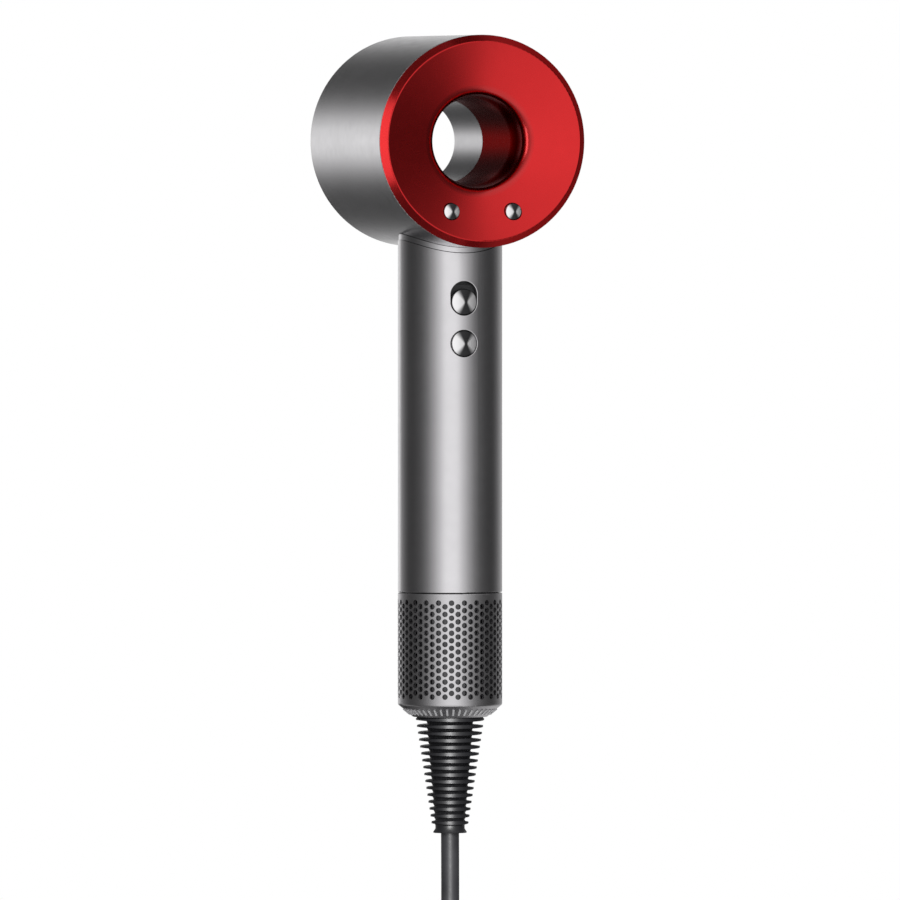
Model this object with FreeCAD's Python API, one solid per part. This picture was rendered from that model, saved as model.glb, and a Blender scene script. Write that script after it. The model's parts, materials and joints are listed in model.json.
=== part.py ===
import FreeCAD
import Part
import math
import os
from FreeCAD import Vector

# Ring-head hair dryer, millimetres.
# +Z runs up the handle's axis, the origin is the middle of the grip, +Y is the way the air blows.
# The controls face -Y. The head is a short barrel along Y with an open bore through it.
# A motor in the handle draws air through a perforated cage at the bottom and blows it up into the head.

NEAR = 1e-3             # how close two sizes are when they are the same

# ---- rounded edges ----
EDGE_ROUND = 0.25       # the shells' and collar's edges
RIM_ROUND = 0.45        # the red rim and the outlet's lip
RIB_ROUND = 0.2

# ---- clearances ----
RUN_FIT = 0.05          # shaft in a bearing, bearing in its seat
SLIP_FIT = 0.15         # one fixed piece inside another
MOVE_GAP = 0.3          # round a piece that travels
OVERCUT = 2.0           # how far a cutting tool passes through what it cuts

# ---- head barrel ----
HEAD_Z = 122.0          # height of the barrel's axis above the grip's middle
HEAD_R = 38.5
HEAD_WALL = 1.8
REAR_Y = -45.0          # rearmost plane of the red face
FRONT_Y = 52.0
FRONT_ROUND = 1.2
BORE_R = 15.5
RIM_STEP_R = 2.35       # the chamfered rim of the rear face, across and along
RIM_STEP_Y = 3.0
GASKET_T = 0.4
GASKET_INSET = 0.35
REAR_SEAM_Y = REAR_Y + RIM_STEP_Y
SHELL_IN_R = HEAD_R - HEAD_WALL

# ---- rear funnel: a shallow cone that rolls into the bore ----
FUNNEL_WALL = 1.6
CONE_END_R = 20.4
CONE_DEPTH = 5.72
NECK_STEP = 1.4         # the roll ends this much wider than the bore, and then narrows slowly
NECK_DEPTH = 9.6
NECK_TAPER = 0.13
BELL_DEPTH = 20.0
SPIGOT_WALL = 1.5
SPIGOT_LENGTH = 5.0
FUNNEL_END_Y = 10.8
FACE_R = HEAD_R - RIM_STEP_R

# ---- push buttons on the rear face ----
FACE_BUTTON_X = 11.6
FACE_BUTTON_DROP = 25.4
FACE_BUTTON_R = 2.95
FACE_BUTTON_FLANGE_R = 4.2
FACE_BUTTON_FLANGE_T = 0.8
FACE_BUTTON_TRAVEL = 0.8
FACE_BUTTON_CROWN = 0.35
FACE_BUTTON_PROUD = 1.2
BOSS_WALL = 1.4
SPRING_WIRE_R = 0.25

# ---- control board behind the funnel ----
BOARD_T = 1.6
BOARD_BORE_GAP = 1.9
BOARD_OUT_R = 34.2
BOARD_Y = -33.0
BOARD_POST_RING_R = 31.0
BOARD_POST_R = 2.2
BOARD_POST_ANGLES = (90.0, 210.0, 330.0)
SCREW_R = 0.85
SCREW_HEAD_R = 1.9
SCREW_HEAD_T = 1.3
TACT_SIZE = 4.4
TACT_T = 1.6
TACT_PLUNGER_R = 1.0
TACT_PLUNGER_T = 0.6

# ---- front outlet ----
SLEEVE_WALL = 1.4
SLEEVE_LIP_R = 4.8
SLEEVE_SKIRT_WALL = 1.3
SLEEVE_SKIRT_LAP = 6.8
SLOT_OUT_R = 26.5
FRONT_RING_T = 1.6
FRONT_RING_INSET = 0.4
FRONT_LIP_T = 1.1
FRONT_LIP_LENGTH = 3.5
FRONT_SKIRT_LENGTH = 4.0
GRILLE_DEPTH = 3.0
GRILLE_RING_T = 0.9
GRILLE_VANES = 18
GRILLE_VANE_T = 0.8
GUIDE_WALL = 1.0
GUIDE_LENGTH = 10.0
MAGNET_R = 2.0
MAGNET_T = 3.2
MAGNETS = 8

# ---- ring heater ----
HEATER_REAR_Y = 21.0
HEATER_FRONT_Y = 36.0
HEATER_SKIN = 0.6
HEATER_OUT_R = 34.0
HEATER_VANES = 12
HEATER_VANE_T = 0.5
COIL_WIRE_R = 0.5
COIL_RINGS = 3
COIL_ROWS = 3
SHIELD_T = 0.5
SHIELD_GAP = 0.8
SHIELD_LAP = 0.5

# ---- neck ----
NECK_DUCT_R = 16.75
NECK_DUCT_WALL = 1.3
NECK_DUCT_DROP = 7.5    # how far the duct reaches down into the handle
NECK_FLANGE_R = 20.0
NECK_FLANGE_T = 1.2
COLLAR_T = 1.75
COLLAR_INSET = 0.3
NECK_LINE = 0.25

# ---- handle ----
HANDLE_R = 19.0
HANDLE_WALL = 1.6
SEAM_Z = -42.0
TUBE_IN_R = HANDLE_R - HANDLE_WALL

# ---- power slider and cool button on the handle ----
KNOB_R = 4.65
KNOB_CROWN = 0.5
KNOB_PROUD = 0.3
SLIDE_TRAVEL = 2.6
POWER_Z = 65.0          # middle of the slider's slot
SLIDER_PLATE_X = 5.6
SLIDER_PLATE_UP = 6.2
SLIDER_PLATE_T = 1.0
COOL_Z = 48.6
COOL_R = 4.65
COOL_TRAVEL = 1.2
COOL_FLANGE_R = 5.5
COOL_FLANGE_T = 0.9
COOL_STEM_R = 1.5
BUTTON_RING_GAP = 0.25

# ---- switch carrier inside the handle ----
CARRIER_FRONT_Y = -14.5
CARRIER_T = 4.0
CARRIER_LOW_Z = 39.0
CARRIER_HEAD_GAP = 8.5  # between the carrier's top and the underside of the head
CARRIER_POCKET_T = 2.2
SWITCH_T = 4.0
SWITCH_BOARD_T = 1.6
SWITCH_BOARD_X = 9.0
CARRIER_SCREW_X = 6.8
CARRIER_SCREW_Z = 56.0
CARRIER_POST_R = 2.1
CARRIER_TOP_Z = HEAD_Z - HEAD_R - CARRIER_HEAD_GAP

# ---- foam, motor mounts and motor ----
FOAM_LOW_Z = 14.0
FOAM_TOP_Z = 34.0
FOAM_IN_R = 10.5
SHROUD_R = 14.2
SHROUD_WALL = 1.1
SHROUD_LOW_Z = -34.0
SHROUD_TOP_Z = 2.0
MOUNT_H = 6.0
LOWER_MOUNT_Z = -31.0
UPPER_MOUNT_Z = -5.0
WIRE_SLOT_X = 4.4
SHAFT_R = 1.2
SHAFT_LOW_Z = -29.0
SHAFT_TOP_Z = 7.0
BEARING_R = 4.0
BEARING_H = 3.0
FRAME_HUB_WALL = 1.2
LOWER_FRAME_Z = -18.0
LOWER_FRAME_H = 4.5
UPPER_FRAME_Z = 2.6
UPPER_FRAME_H = 3.8
DIFFUSER_VANES = 11
DIFFUSER_VANE_T = 0.7
IMPELLER_HUB_R = 5.2
IMPELLER_LOW_Z = -28.0
IMPELLER_H = 7.0
IMPELLER_BLADES = 13
BLADE_T = 0.7
BLADE_PITCH = 38.0
STATOR_LOW_Z = -11.0
STATOR_TOP_Z = -1.0
STATOR_YOKE_T = 1.8
STATOR_POLES = 4
POLE_HALF = 1.9
MAGNET_ROTOR_R = 4.3
MAGNET_GAP = 0.6
WINDING_T = 1.4
MOTOR_BOARD_Z = 8.6
MOTOR_BOARD_T = 1.4
MOTOR_BOARD_POSTS = 3

# ---- filter core, mesh and perforated cage ----
CORE_SPIGOT = 6.0
CORE_WALL = 1.3
CORE_STEP = 0.5         # the core is this much slimmer than the tube it plugs into
CORE_FLOOR_T = 1.8
CORE_WINDOW_COLUMNS = 8
CORE_WINDOW_ROWS = 3
CORE_BAR = 2.4
MESH_T = 0.25
MESH_GAP = 0.1
CAGE_WALL = 1.2
CAGE_END_Z = -83.0      # where the straight wall turns into the cone
CAGE_TIP_Z = -87.5
CAGE_TIP_R = 13.5
CAGE_MOUTH_R = 12.75
CAGE_SEAM_GAP = 0.35
CAGE_TOP_BAND = 2.3
HOLE_R = 1.0
HOLE_PITCH = 2.73
HOLE_COLUMNS = 50
HOLE_ROWS = 13
GRIP_RIBS = 46
GRIP_RIB_L = 3.0
GRIP_RIB_W = 0.7
GRIP_RIB_PROUD = 0.35
GRIP_RIB_SHARE = 0.57   # where the ribs' middle lies on the cone, from its wide end

# ---- strain relief ----
CORD_R = 3.3
BOOT_END_Z = -129.8
BOOT_RIBS = 16
BOOT_FIRST_RIB_Z = -88.4
BOOT_RIB_PITCH = 2.51
BOOT_RIB_TOP_R = 12.45
BOOT_RIB_END_R = 6.75
BOOT_CORE_TOP_R = 8.5
BOOT_CORE_END_R = 5.35
BOOT_RIB_TIP = 0.25     # half thickness of a rib at its tip
BOOT_RIB_FLARE = 0.15   # how much that grows with each mm towards the root
BOOT_ROOT_ROUND = 0.3
BOOT_FLARE_R = 6.15
BOOT_FLARE_H = 1.6
BOOT_SHOULDER_R = 11.9
BOOT_NECK_R = 6.8
BOOT_FLANGE_R = 9.4
BOOT_FLANGE_T = 1.8
LEAD_IN_TOP_Z = -70.0
CLAMP_T = 2.0
CLAMP_HALF_Y = 3.6
CLAMP_LEG_X = 12.4
CLAMP_LEG_HALF = 2.0
CLAMP_SCREW_R = 0.95
CLAMP_SCREW_DEPTH = 1.2

# ---- wires ----
WIRE_R = 0.85
WIRE_X = (-2.1, 0.0, 2.1)
HEAD_LEAD_X = (-3.0, 3.0)

# ---- free cord: drop, tied hank and plug ----
HANK_X = 22.0           # half the spacing of the runs at the folds
HANK_TOP_Z = -227.0     # centre of the upper folds
HANK_RUN = 110.0
HANK_PITCH = 6.9
HANK_TURNS = 7
TIE_H = 16.0
TIE_T = 1.6
TIE_SLACK = 0.25
FOLD_LAP = 1.0          # how far past a fold's middle the drop and the tail start
PLUG_BOOT_TOP_Z = -357.5
PLUG_BOOT_H = 27.0
PLUG_BOOT_TOP_R = 5.0
PLUG_BOOT_END_R = 8.0
PLUG_BODY_H = 38.0
PLUG_FACE_R = 17.6
PLUG_NECK_R = 9.5
PLUG_HALF_X = 13.0
PIN_R = 2.4
PIN_Y = 9.5
PIN_H = 19.0

HANK_HALF_Y = HANK_PITCH * (HANK_TURNS + 1) / 2.0
LAST_RUN_Y = HANK_PITCH * HANK_TURNS / 2.0

# The route of the cord from the strain relief to the hank: it hangs straight, then leans over
# to the corner of the hank where the first run starts.
DROP_ROUTE = [
    (0.0, 0.0, BOOT_END_Z),
    (0.2, 0.3, -148.0),
    (0.0, 0.0, -166.0),
    (11.0, -19.0, -193.0),
    (22.0, -25.5, -215.0),
    (22.0, -24.15, -244.0),
]

AXIS_Z = Vector(0, 0, 1)
AXIS_Y = Vector(0, 1, 0)
HEAD_CENTRE = Vector(0, 0, HEAD_Z)
parts = {}


# ---- helpers ----
def cyl_z(radius, low, top, x=0.0, y=0.0):
    return Part.makeCylinder(radius, top - low, Vector(x, y, low), AXIS_Z)


def ring_z(outer, inner, low, top):
    return cyl_z(outer, low, top).cut(cyl_z(inner, low - OVERCUT, top + OVERCUT))


def cyl_y(radius, rear, front, x=0.0, z=HEAD_Z):
    return Part.makeCylinder(radius, front - rear, Vector(x, rear, z), AXIS_Y)


def ring_y(outer, inner, rear, front, x=0.0, z=HEAD_Z):
    return cyl_y(outer, rear, front, x, z).cut(
        cyl_y(inner, rear - OVERCUT, front + OVERCUT, x, z))


def block(x0, x1, y0, y1, z0, z1):
    return Part.makeBox(x1 - x0, y1 - y0, z1 - z0, Vector(x0, y0, z0))


def lathe_z(outline):
    """Turns an outline of (radius, height) points about the handle's axis."""
    wire = Part.makePolygon([Vector(r, 0, z) for r, z in outline + outline[:1]])
    return Part.Face(wire).revolve(Vector(0, 0, 0), AXIS_Z, 360)


def lathe_z_rounded(outline):
    """The same, for (radius, height, corner radius) points."""
    edges = rounded_outline([(Vector(r, 0, z), corner) for r, z, corner in outline])
    return Part.Face(Part.Wire(edges)).revolve(Vector(0, 0, 0), AXIS_Z, 360)


def head_point(radius, along):
    """A point of an outline that is turned about the barrel's axis."""
    return Vector(radius, along, HEAD_Z)


def lathe_y(edges):
    """Turns edges that lie in the barrel's own plane about the barrel's axis."""
    return Part.Face(Part.Wire(edges)).revolve(HEAD_CENTRE, AXIS_Y, 360)


def lathe_y_rounded(outline):
    """Turns (radius, depth, corner radius) points about the barrel's axis."""
    return lathe_y(rounded_outline([(head_point(r, y), corner) for r, y, corner in outline]))


def lathe_y_points(outline):
    points = [head_point(r, y) for r, y in outline + outline[:1]]
    return Part.Face(Part.makePolygon(points)).revolve(HEAD_CENTRE, AXIS_Y, 360)


def line(a, b):
    return Part.LineSegment(a, b).toShape()


def bezier(points):
    curve = Part.BezierCurve()
    curve.setPoles(points)
    return curve.toShape()


def rounded_outline(corners):
    """Closed edges through (point, radius) corners, each corner rounded by a tangent arc."""
    count = len(corners)
    starts = []
    ends = []
    arcs = []
    for k in range(count):
        here, radius = corners[k]
        came = (here - corners[k - 1][0]).normalize()
        goes = (corners[(k + 1) % count][0] - here).normalize()
        turn = came.getAngle(goes)
        if radius == 0.0 or turn < 1e-6:
            starts.append(here)
            ends.append(here)
            continue
        reach = radius * math.tan(turn / 2.0)
        start = here - came * reach
        end = here + goes * reach
        inward = (goes - came).normalize()
        middle = here + inward * (radius / math.cos(turn / 2.0) - radius)
        starts.append(start)
        ends.append(end)
        arcs.append((k, Part.Arc(start, middle, end).toShape()))
    arc_at = dict(arcs)
    edges = []
    for k in range(count):
        if k in arc_at:
            edges.append(arc_at[k])
        edges.append(line(ends[k], starts[(k + 1) % count]))
    return edges


def quarter_arc(start, centre, end):
    """The arc from start to end about centre, both a quarter turn apart."""
    mid = centre + (start + end - centre * 2).normalize() * (start - centre).Length
    return Part.Arc(start, mid, end).toShape()


def on_head(radius, degrees):
    """(x, z) at that radius and angle on the barrel's cross-section."""
    turn = math.radians(degrees)
    return radius * math.cos(turn), HEAD_Z + radius * math.sin(turn)


def spin_z(shape, degrees):
    turned = shape.copy()
    turned.rotate(Vector(0, 0, 0), AXIS_Z, degrees)
    return turned


def spin_y(shape, degrees):
    turned = shape.copy()
    turned.rotate(HEAD_CENTRE, AXIS_Y, degrees)
    return turned


def fuse_all(shapes):
    return shapes[0].multiFuse(shapes[1:]).removeSplitter()


def coil_spring(radius, wire, length, turns, base, direction):
    """A coil of square wire, from base along direction."""
    helix = Part.makeHelix((length - 2 * wire) / turns, length - 2 * wire, radius)
    corners = [(-wire, -wire), (wire, -wire), (wire, wire), (-wire, wire), (-wire, -wire)]
    loop = Part.makePolygon([Vector(radius + x, 0, z) for x, z in corners])
    spring = Part.Wire(helix).makePipeShell([loop], True, True)
    spring.translate(Vector(0, 0, wire))
    spring.Placement = FreeCAD.Placement(
        base, FreeCAD.Rotation(AXIS_Z, direction)).multiply(spring.Placement)
    return spring


def bend_radii(route):
    """For each inner point of a route, the radius of its arc."""
    points = [Vector(*p) for p in route]
    radii = []
    for before, here, after in zip(points, points[1:], points[2:]):
        turn = (here - before).getAngle(after - here)
        run = min((here - before).Length, (after - here).Length)
        radii.append(0.45 * run / math.tan(turn / 2.0))
    return radii


def tube_along(route, radius):
    """A round tube along straight runs that are joined by tangent arcs."""
    points = [Vector(*p) for p in route]
    edges = []
    at = points[0]
    for before, here, after in zip(points, points[1:], points[2:]):
        came = (here - before).normalize()
        goes = (after - here).normalize()
        reach = 0.45 * min((here - before).Length, (after - here).Length)
        start = here - came * reach
        end = here + goes * reach
        turn = came.getAngle(goes)
        bend = reach / math.tan(turn / 2.0)
        inward = (goes - came).normalize()
        middle = here + inward * (bend / math.cos(turn / 2.0) - bend)
        edges.append(line(at, start))
        edges.append(Part.Arc(start, middle, end).toShape())
        at = end
    edges.append(line(at, points[-1]))
    path = Part.Wire(edges)
    loop = Part.Wire(Part.Circle(points[0], points[1] - points[0], radius).toShape())
    tube = path.makePipeShell([loop], True, False)
    expected = math.pi * radius ** 2 * path.Length
    print("tube of %.0f mm, volume share %.4f" % (path.Length, tube.Volume / expected))
    return tube


# ---- head barrel ----
def head_shell():
    start = REAR_SEAM_Y + GASKET_T
    shell = lathe_y_rounded([
        (SHELL_IN_R, start, 0.0), (HEAD_R, start, EDGE_ROUND),
        (HEAD_R, FRONT_Y, FRONT_ROUND), (SHELL_IN_R, FRONT_Y, 0.0),
    ])
    neck_hole = cyl_z(NECK_DUCT_R + SLIP_FIT, HEAD_Z - HEAD_R - OVERCUT, HEAD_Z)
    return shell.cut(neck_hole)


def rear_gasket():
    return ring_y(HEAD_R - GASKET_INSET, SHELL_IN_R, REAR_SEAM_Y, REAR_SEAM_Y + GASKET_T)


def face_y(radius):
    """How far back the funnel's conical face lies at that radius."""
    return REAR_Y + CONE_DEPTH * (FACE_R - radius) / (FACE_R - CONE_END_R)


BOARD_IN_R = BORE_R + FUNNEL_WALL + BOARD_BORE_GAP
BOSS_END_Y = BOARD_Y - TACT_T - TACT_PLUNGER_T - FACE_BUTTON_TRAVEL \
    - FACE_BUTTON_FLANGE_T - MOVE_GAP - SLIP_FIT


def rear_funnel():
    slope = Vector(CONE_END_R - FACE_R, CONE_DEPTH, 0).normalize()
    inward = Vector(slope.y, -slope.x, 0)
    rim = head_point(HEAD_R, REAR_SEAM_Y)
    lip = head_point(FACE_R, REAR_Y)
    cone_end = head_point(CONE_END_R, REAR_Y + CONE_DEPTH)
    bell_end = head_point(BORE_R, REAR_Y + BELL_DEPTH)
    tube_end = head_point(BORE_R, FUNNEL_END_Y)
    neck = head_point(BORE_R + NECK_STEP, REAR_Y + NECK_DEPTH)
    narrowing = Vector(-NECK_TAPER, 1.0, 0).normalize()
    back_bell = bell_end + Vector(FUNNEL_WALL, 0, 0)
    back_neck = neck + Vector(narrowing.y, -narrowing.x, 0) * FUNNEL_WALL
    back_cone = cone_end + inward * FUNNEL_WALL
    spigot_out = SHELL_IN_R - SLIP_FIT
    spigot_in = spigot_out - SPIGOT_WALL
    climb = (spigot_in - back_cone.x) / slope.x
    back_rim = back_cone + slope * climb
    reach = (BELL_DEPTH - NECK_DEPTH) / 2.5
    pull = (CONE_END_R - BORE_R - NECK_STEP) * 0.55
    turn_in = (NECK_DEPTH - CONE_DEPTH) * 0.5
    spigot_end = REAR_SEAM_Y + SPIGOT_LENGTH
    rise = (rim - lip).normalize()
    turn = (lip - rim).getAngle(cone_end - lip)
    reach_lip = RIM_ROUND * math.tan(turn / 2.0)
    inward_lip = (slope + rise).normalize()
    lip_middle = lip + inward_lip * (RIM_ROUND / math.cos(turn / 2.0) - RIM_ROUND)
    body = lathe_y([
        line(rim, lip + rise * reach_lip),
        Part.Arc(lip + rise * reach_lip, lip_middle, lip + slope * reach_lip).toShape(),
        line(lip + slope * reach_lip, cone_end),
        bezier([cone_end, cone_end + slope * pull, neck - narrowing * turn_in, neck]),
        bezier([neck, neck + narrowing * reach, bell_end - AXIS_Y * reach, bell_end]),
        line(bell_end, tube_end),
        line(tube_end, tube_end + Vector(FUNNEL_WALL, 0, 0)),
        line(tube_end + Vector(FUNNEL_WALL, 0, 0), back_bell),
        bezier([back_bell, back_bell - AXIS_Y * reach, back_neck + narrowing * reach, back_neck]),
        bezier([back_neck, back_neck - narrowing * turn_in / 2.0, back_cone + slope * pull / 2.0,
                back_cone]),
        line(back_cone, back_rim),
        line(back_rim, head_point(spigot_in, spigot_end)),
        line(head_point(spigot_in, spigot_end), head_point(spigot_out, spigot_end)),
        line(head_point(spigot_out, spigot_end), head_point(spigot_out, REAR_SEAM_Y)),
        line(head_point(spigot_out, REAR_SEAM_Y), rim),
    ])
    add = []
    cuts = []
    ring = math.hypot(FACE_BUTTON_X, FACE_BUTTON_DROP)
    boss_r = FACE_BUTTON_R + BUTTON_RING_GAP + BOSS_WALL
    for x in (-FACE_BUTTON_X, FACE_BUTTON_X):
        z = HEAD_Z - FACE_BUTTON_DROP
        add.append(cyl_y(boss_r, face_y(ring - boss_r) + 0.3, BOSS_END_Y, x, z))
        cuts.append(cyl_y(FACE_BUTTON_R + BUTTON_RING_GAP, REAR_Y - OVERCUT,
                          BOSS_END_Y + OVERCUT, x, z))
    for angle in BOARD_POST_ANGLES:
        x, z = on_head(BOARD_POST_RING_R, angle)
        root = face_y(BOARD_POST_RING_R - BOARD_POST_R) + 0.3
        add.append(cyl_y(BOARD_POST_R, root, BOARD_Y, x, z))
        cuts.append(cyl_y(SCREW_R + RUN_FIT, root + FUNNEL_WALL, BOARD_Y + OVERCUT, x, z))
    return fuse_all([body] + add).cut(Part.makeCompound(cuts))


def inner_sleeve():
    start = FUNNEL_END_Y + SLIP_FIT
    roll_y = FRONT_Y - SLEEVE_LIP_R
    roll_r = BORE_R + SLEEVE_LIP_R
    outer = BORE_R + SLEEVE_WALL
    centre = head_point(roll_r, roll_y)
    tube = lathe_y([
        line(head_point(BORE_R, start), head_point(BORE_R, roll_y)),
        quarter_arc(head_point(BORE_R, roll_y), centre, head_point(roll_r, FRONT_Y)),
        line(head_point(roll_r, FRONT_Y), head_point(roll_r, FRONT_Y - SLEEVE_WALL)),
        quarter_arc(head_point(roll_r, FRONT_Y - SLEEVE_WALL), centre,
                    head_point(outer, roll_y)),
        line(head_point(outer, roll_y), head_point(outer, start)),
        line(head_point(outer, start), head_point(BORE_R, start)),
    ])
    skirt_in = BORE_R + FUNNEL_WALL + SLIP_FIT
    skirt_front = FUNNEL_END_Y + SLEEVE_SKIRT_LAP / 2.0
    skirt = ring_y(skirt_in + SLEEVE_SKIRT_WALL, skirt_in,
                   FUNNEL_END_Y - SLEEVE_SKIRT_LAP, start)
    joint = ring_y(skirt_in + SLEEVE_SKIRT_WALL, outer - 0.2, start, skirt_front)
    return fuse_all([tube, skirt, joint])


def front_ring():
    outer = SHELL_IN_R - SLIP_FIT
    front = FRONT_Y - FRONT_RING_INSET
    back = front - FRONT_RING_T
    face = lathe_y_rounded([
        (SLOT_OUT_R, back, 0.0), (outer, back, 0.0), (outer, front, EDGE_ROUND),
        (SLOT_OUT_R, front, RIM_ROUND),
    ])
    skirt = ring_y(outer, outer - SPIGOT_WALL, back - FRONT_SKIRT_LENGTH, back)
    lip = ring_y(SLOT_OUT_R + FRONT_LIP_T, SLOT_OUT_R, back - FRONT_LIP_LENGTH, back)
    return fuse_all([face, skirt, lip])


FRONT_RING_BACK = FRONT_Y - FRONT_RING_INSET - FRONT_RING_T
LIP_BACK = FRONT_RING_BACK - FRONT_LIP_LENGTH


def outlet_grille():
    outer = SLOT_OUT_R - SLIP_FIT
    inner = BORE_R + SLEEVE_WALL + SLIP_FIT
    rear = LIP_BACK - GRILLE_DEPTH + 1.0
    front = LIP_BACK + 1.0
    middle = (outer + inner) / 2.0
    rings = [ring_y(r + GRILLE_RING_T, r, rear, front)
             for r in (inner, middle, outer - GRILLE_RING_T)]
    band = ring_y(outer - 0.3, inner + 0.3, rear, front)
    vane = block(inner, outer, rear, front, HEAD_Z - GRILLE_VANE_T / 2.0,
                 HEAD_Z + GRILLE_VANE_T / 2.0).common(band)
    vanes = [spin_y(vane, 360.0 * k / GRILLE_VANES) for k in range(GRILLE_VANES)]
    return fuse_all(rings + vanes)


def air_guide():
    wide = HEATER_OUT_R + HEATER_SKIN
    narrow = SLOT_OUT_R
    rear = LIP_BACK - GUIDE_LENGTH
    cone = lathe_y_points([
        (wide, rear), (wide + GUIDE_WALL, rear),
        (narrow + GUIDE_WALL, LIP_BACK), (narrow, LIP_BACK),
    ])
    x, z = on_head(narrow, 90.0)
    needle_hole = cyl_z(0.7, z, z + HEAD_R, x, ION_Y)
    return cone.cut(needle_hole)


ION_Y = LIP_BACK - 4.2


def attachment_magnets():
    solids = []
    ring = (SLOT_OUT_R + FRONT_LIP_T + SHELL_IN_R - SPIGOT_WALL) / 2.0
    for k in range(MAGNETS):
        x, z = on_head(ring, 360.0 * (k + 0.5) / MAGNETS)
        solids.append(cyl_y(MAGNET_R, FRONT_RING_BACK - MAGNET_T, FRONT_RING_BACK, x, z))
    return Part.makeCompound(solids)


HEATER_IN_R = BORE_R + SLEEVE_WALL + SLIP_FIT


def heat_shield():
    outer = HEATER_OUT_R + SHIELD_GAP + SHIELD_T
    return ring_y(outer, outer - SHIELD_T, HEATER_REAR_Y - SHIELD_LAP, HEATER_FRONT_Y)


def coil_places():
    span_r = HEATER_OUT_R - HEATER_IN_R
    span_y = HEATER_FRONT_Y - HEATER_REAR_Y
    for i in range(COIL_RINGS):
        for j in range(COIL_ROWS):
            yield (HEATER_IN_R + span_r * (i + 0.75) / (COIL_RINGS + 0.5),
                   HEATER_REAR_Y + span_y * (j + 0.5) / COIL_ROWS)


def coil_ring(place, wire):
    radius, along = place
    return Part.makeTorus(radius, wire, Vector(0, along, HEAD_Z), AXIS_Y)


def heater_frame():
    inner = ring_y(HEATER_IN_R + HEATER_SKIN, HEATER_IN_R, HEATER_REAR_Y, HEATER_FRONT_Y)
    outer = ring_y(HEATER_OUT_R, HEATER_OUT_R - HEATER_SKIN, HEATER_REAR_Y, HEATER_FRONT_Y)
    vane = block(HEATER_IN_R + HEATER_SKIN / 2.0, HEATER_OUT_R - HEATER_SKIN / 2.0,
                 HEATER_REAR_Y, HEATER_FRONT_Y,
                 HEAD_Z - HEATER_VANE_T / 2.0, HEAD_Z + HEATER_VANE_T / 2.0)
    notches = [coil_ring(place, COIL_WIRE_R + RUN_FIT) for place in coil_places()]
    vane = vane.cut(Part.makeCompound(notches))
    vanes = [spin_y(vane, 360.0 * k / HEATER_VANES) for k in range(HEATER_VANES)]
    return fuse_all([inner, outer] + vanes)


def heater_coils():
    return Part.makeCompound([coil_ring(place, COIL_WIRE_R) for place in coil_places()])


def thermistor():
    x, z = on_head((HEATER_IN_R + HEATER_OUT_R) / 2.0, 90.0)
    bead = Part.makeSphere(1.2, Vector(x, HEATER_FRONT_Y + 3.0, z))
    leg = cyl_y(0.3, HEATER_FRONT_Y, HEATER_FRONT_Y + 3.0, x, z)
    return bead.fuse(leg).removeSplitter()


def thermal_fuse():
    x, z = on_head((HEATER_IN_R + HEATER_OUT_R) / 2.0, 120.0)
    body = cyl_y(1.6, HEATER_REAR_Y - 11.0, HEATER_REAR_Y - 2.0, x, z)
    leg = cyl_y(0.4, HEATER_REAR_Y - 2.0, HEATER_REAR_Y, x, z)
    return body.fuse(leg).removeSplitter()


def ion_emitter():
    share = (LIP_BACK - ION_Y) / GUIDE_LENGTH
    cone_out = SLOT_OUT_R + GUIDE_WALL + (HEATER_OUT_R + HEATER_SKIN - SLOT_OUT_R) * share
    low = HEAD_Z + cone_out + 1.6
    top = HEAD_Z + SHELL_IN_R - 0.6
    housing = block(-4.0, 4.0, ION_Y - 1.0, ION_Y + 3.0, low, top)
    needle = cyl_z(0.25, HEAD_Z + SLOT_OUT_R, low, 0.0, ION_Y)
    return housing.fuse(needle).removeSplitter()


# ---- control board and face buttons ----
def control_board():
    board = ring_y(BOARD_OUT_R, BOARD_IN_R, BOARD_Y, BOARD_Y + BOARD_T)
    holes = []
    for angle in BOARD_POST_ANGLES:
        x, z = on_head(BOARD_POST_RING_R, angle)
        holes.append(cyl_y(SCREW_R + SLIP_FIT, BOARD_Y - OVERCUT,
                           BOARD_Y + BOARD_T + OVERCUT, x, z))
    return board.cut(Part.makeCompound(holes))


def board_components():
    """Power switch, smoothing capacitor, controller chip and six small lamps."""
    front = BOARD_Y + BOARD_T
    middle = (BOARD_IN_R + BOARD_OUT_R) / 2.0
    solids = []
    for angle, half_x, half_z, height in ((35.0, 4.5, 3.0, 4.0), (150.0, 3.5, 3.5, 1.4),
                                          (180.0, 2.0, 5.0, 6.0), (0.0, 2.5, 4.0, 3.0)):
        x, z = on_head(middle, angle)
        solids.append(block(x - half_x, x + half_x, front, front + height,
                            z - half_z, z + half_z))
    for side in (-1.0, 1.0):
        for k in range(3):
            x = side * (FACE_BUTTON_X + 5.6 + 0.4 * k)
            z = HEAD_Z - FACE_BUTTON_DROP + 5.2 - 2.4 * k
            solids.append(block(x - 0.6, x + 0.6, BOARD_Y - 0.8, BOARD_Y, z - 0.6, z + 0.6))
    return Part.makeCompound(solids)


def screw_y(x, z, seat, tip, head_dir):
    """A pan-head screw along Y: its head sits at seat, on the side of head_dir."""
    if head_dir > 0:
        head = cyl_y(SCREW_HEAD_R, seat, seat + SCREW_HEAD_T, x, z)
        shank = cyl_y(SCREW_R, tip, seat, x, z)
        drive = block(x - 0.25, x + 0.25, seat + SCREW_HEAD_T - 0.5,
                      seat + SCREW_HEAD_T + 1, z - 1.1, z + 1.1)
    else:
        head = cyl_y(SCREW_HEAD_R, seat - SCREW_HEAD_T, seat, x, z)
        shank = cyl_y(SCREW_R, seat, tip, x, z)
        drive = block(x - 0.25, x + 0.25, seat - SCREW_HEAD_T - 1,
                      seat - SCREW_HEAD_T + 0.5, z - 1.1, z + 1.1)
    return head.fuse(shank).removeSplitter().cut(drive)


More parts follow.
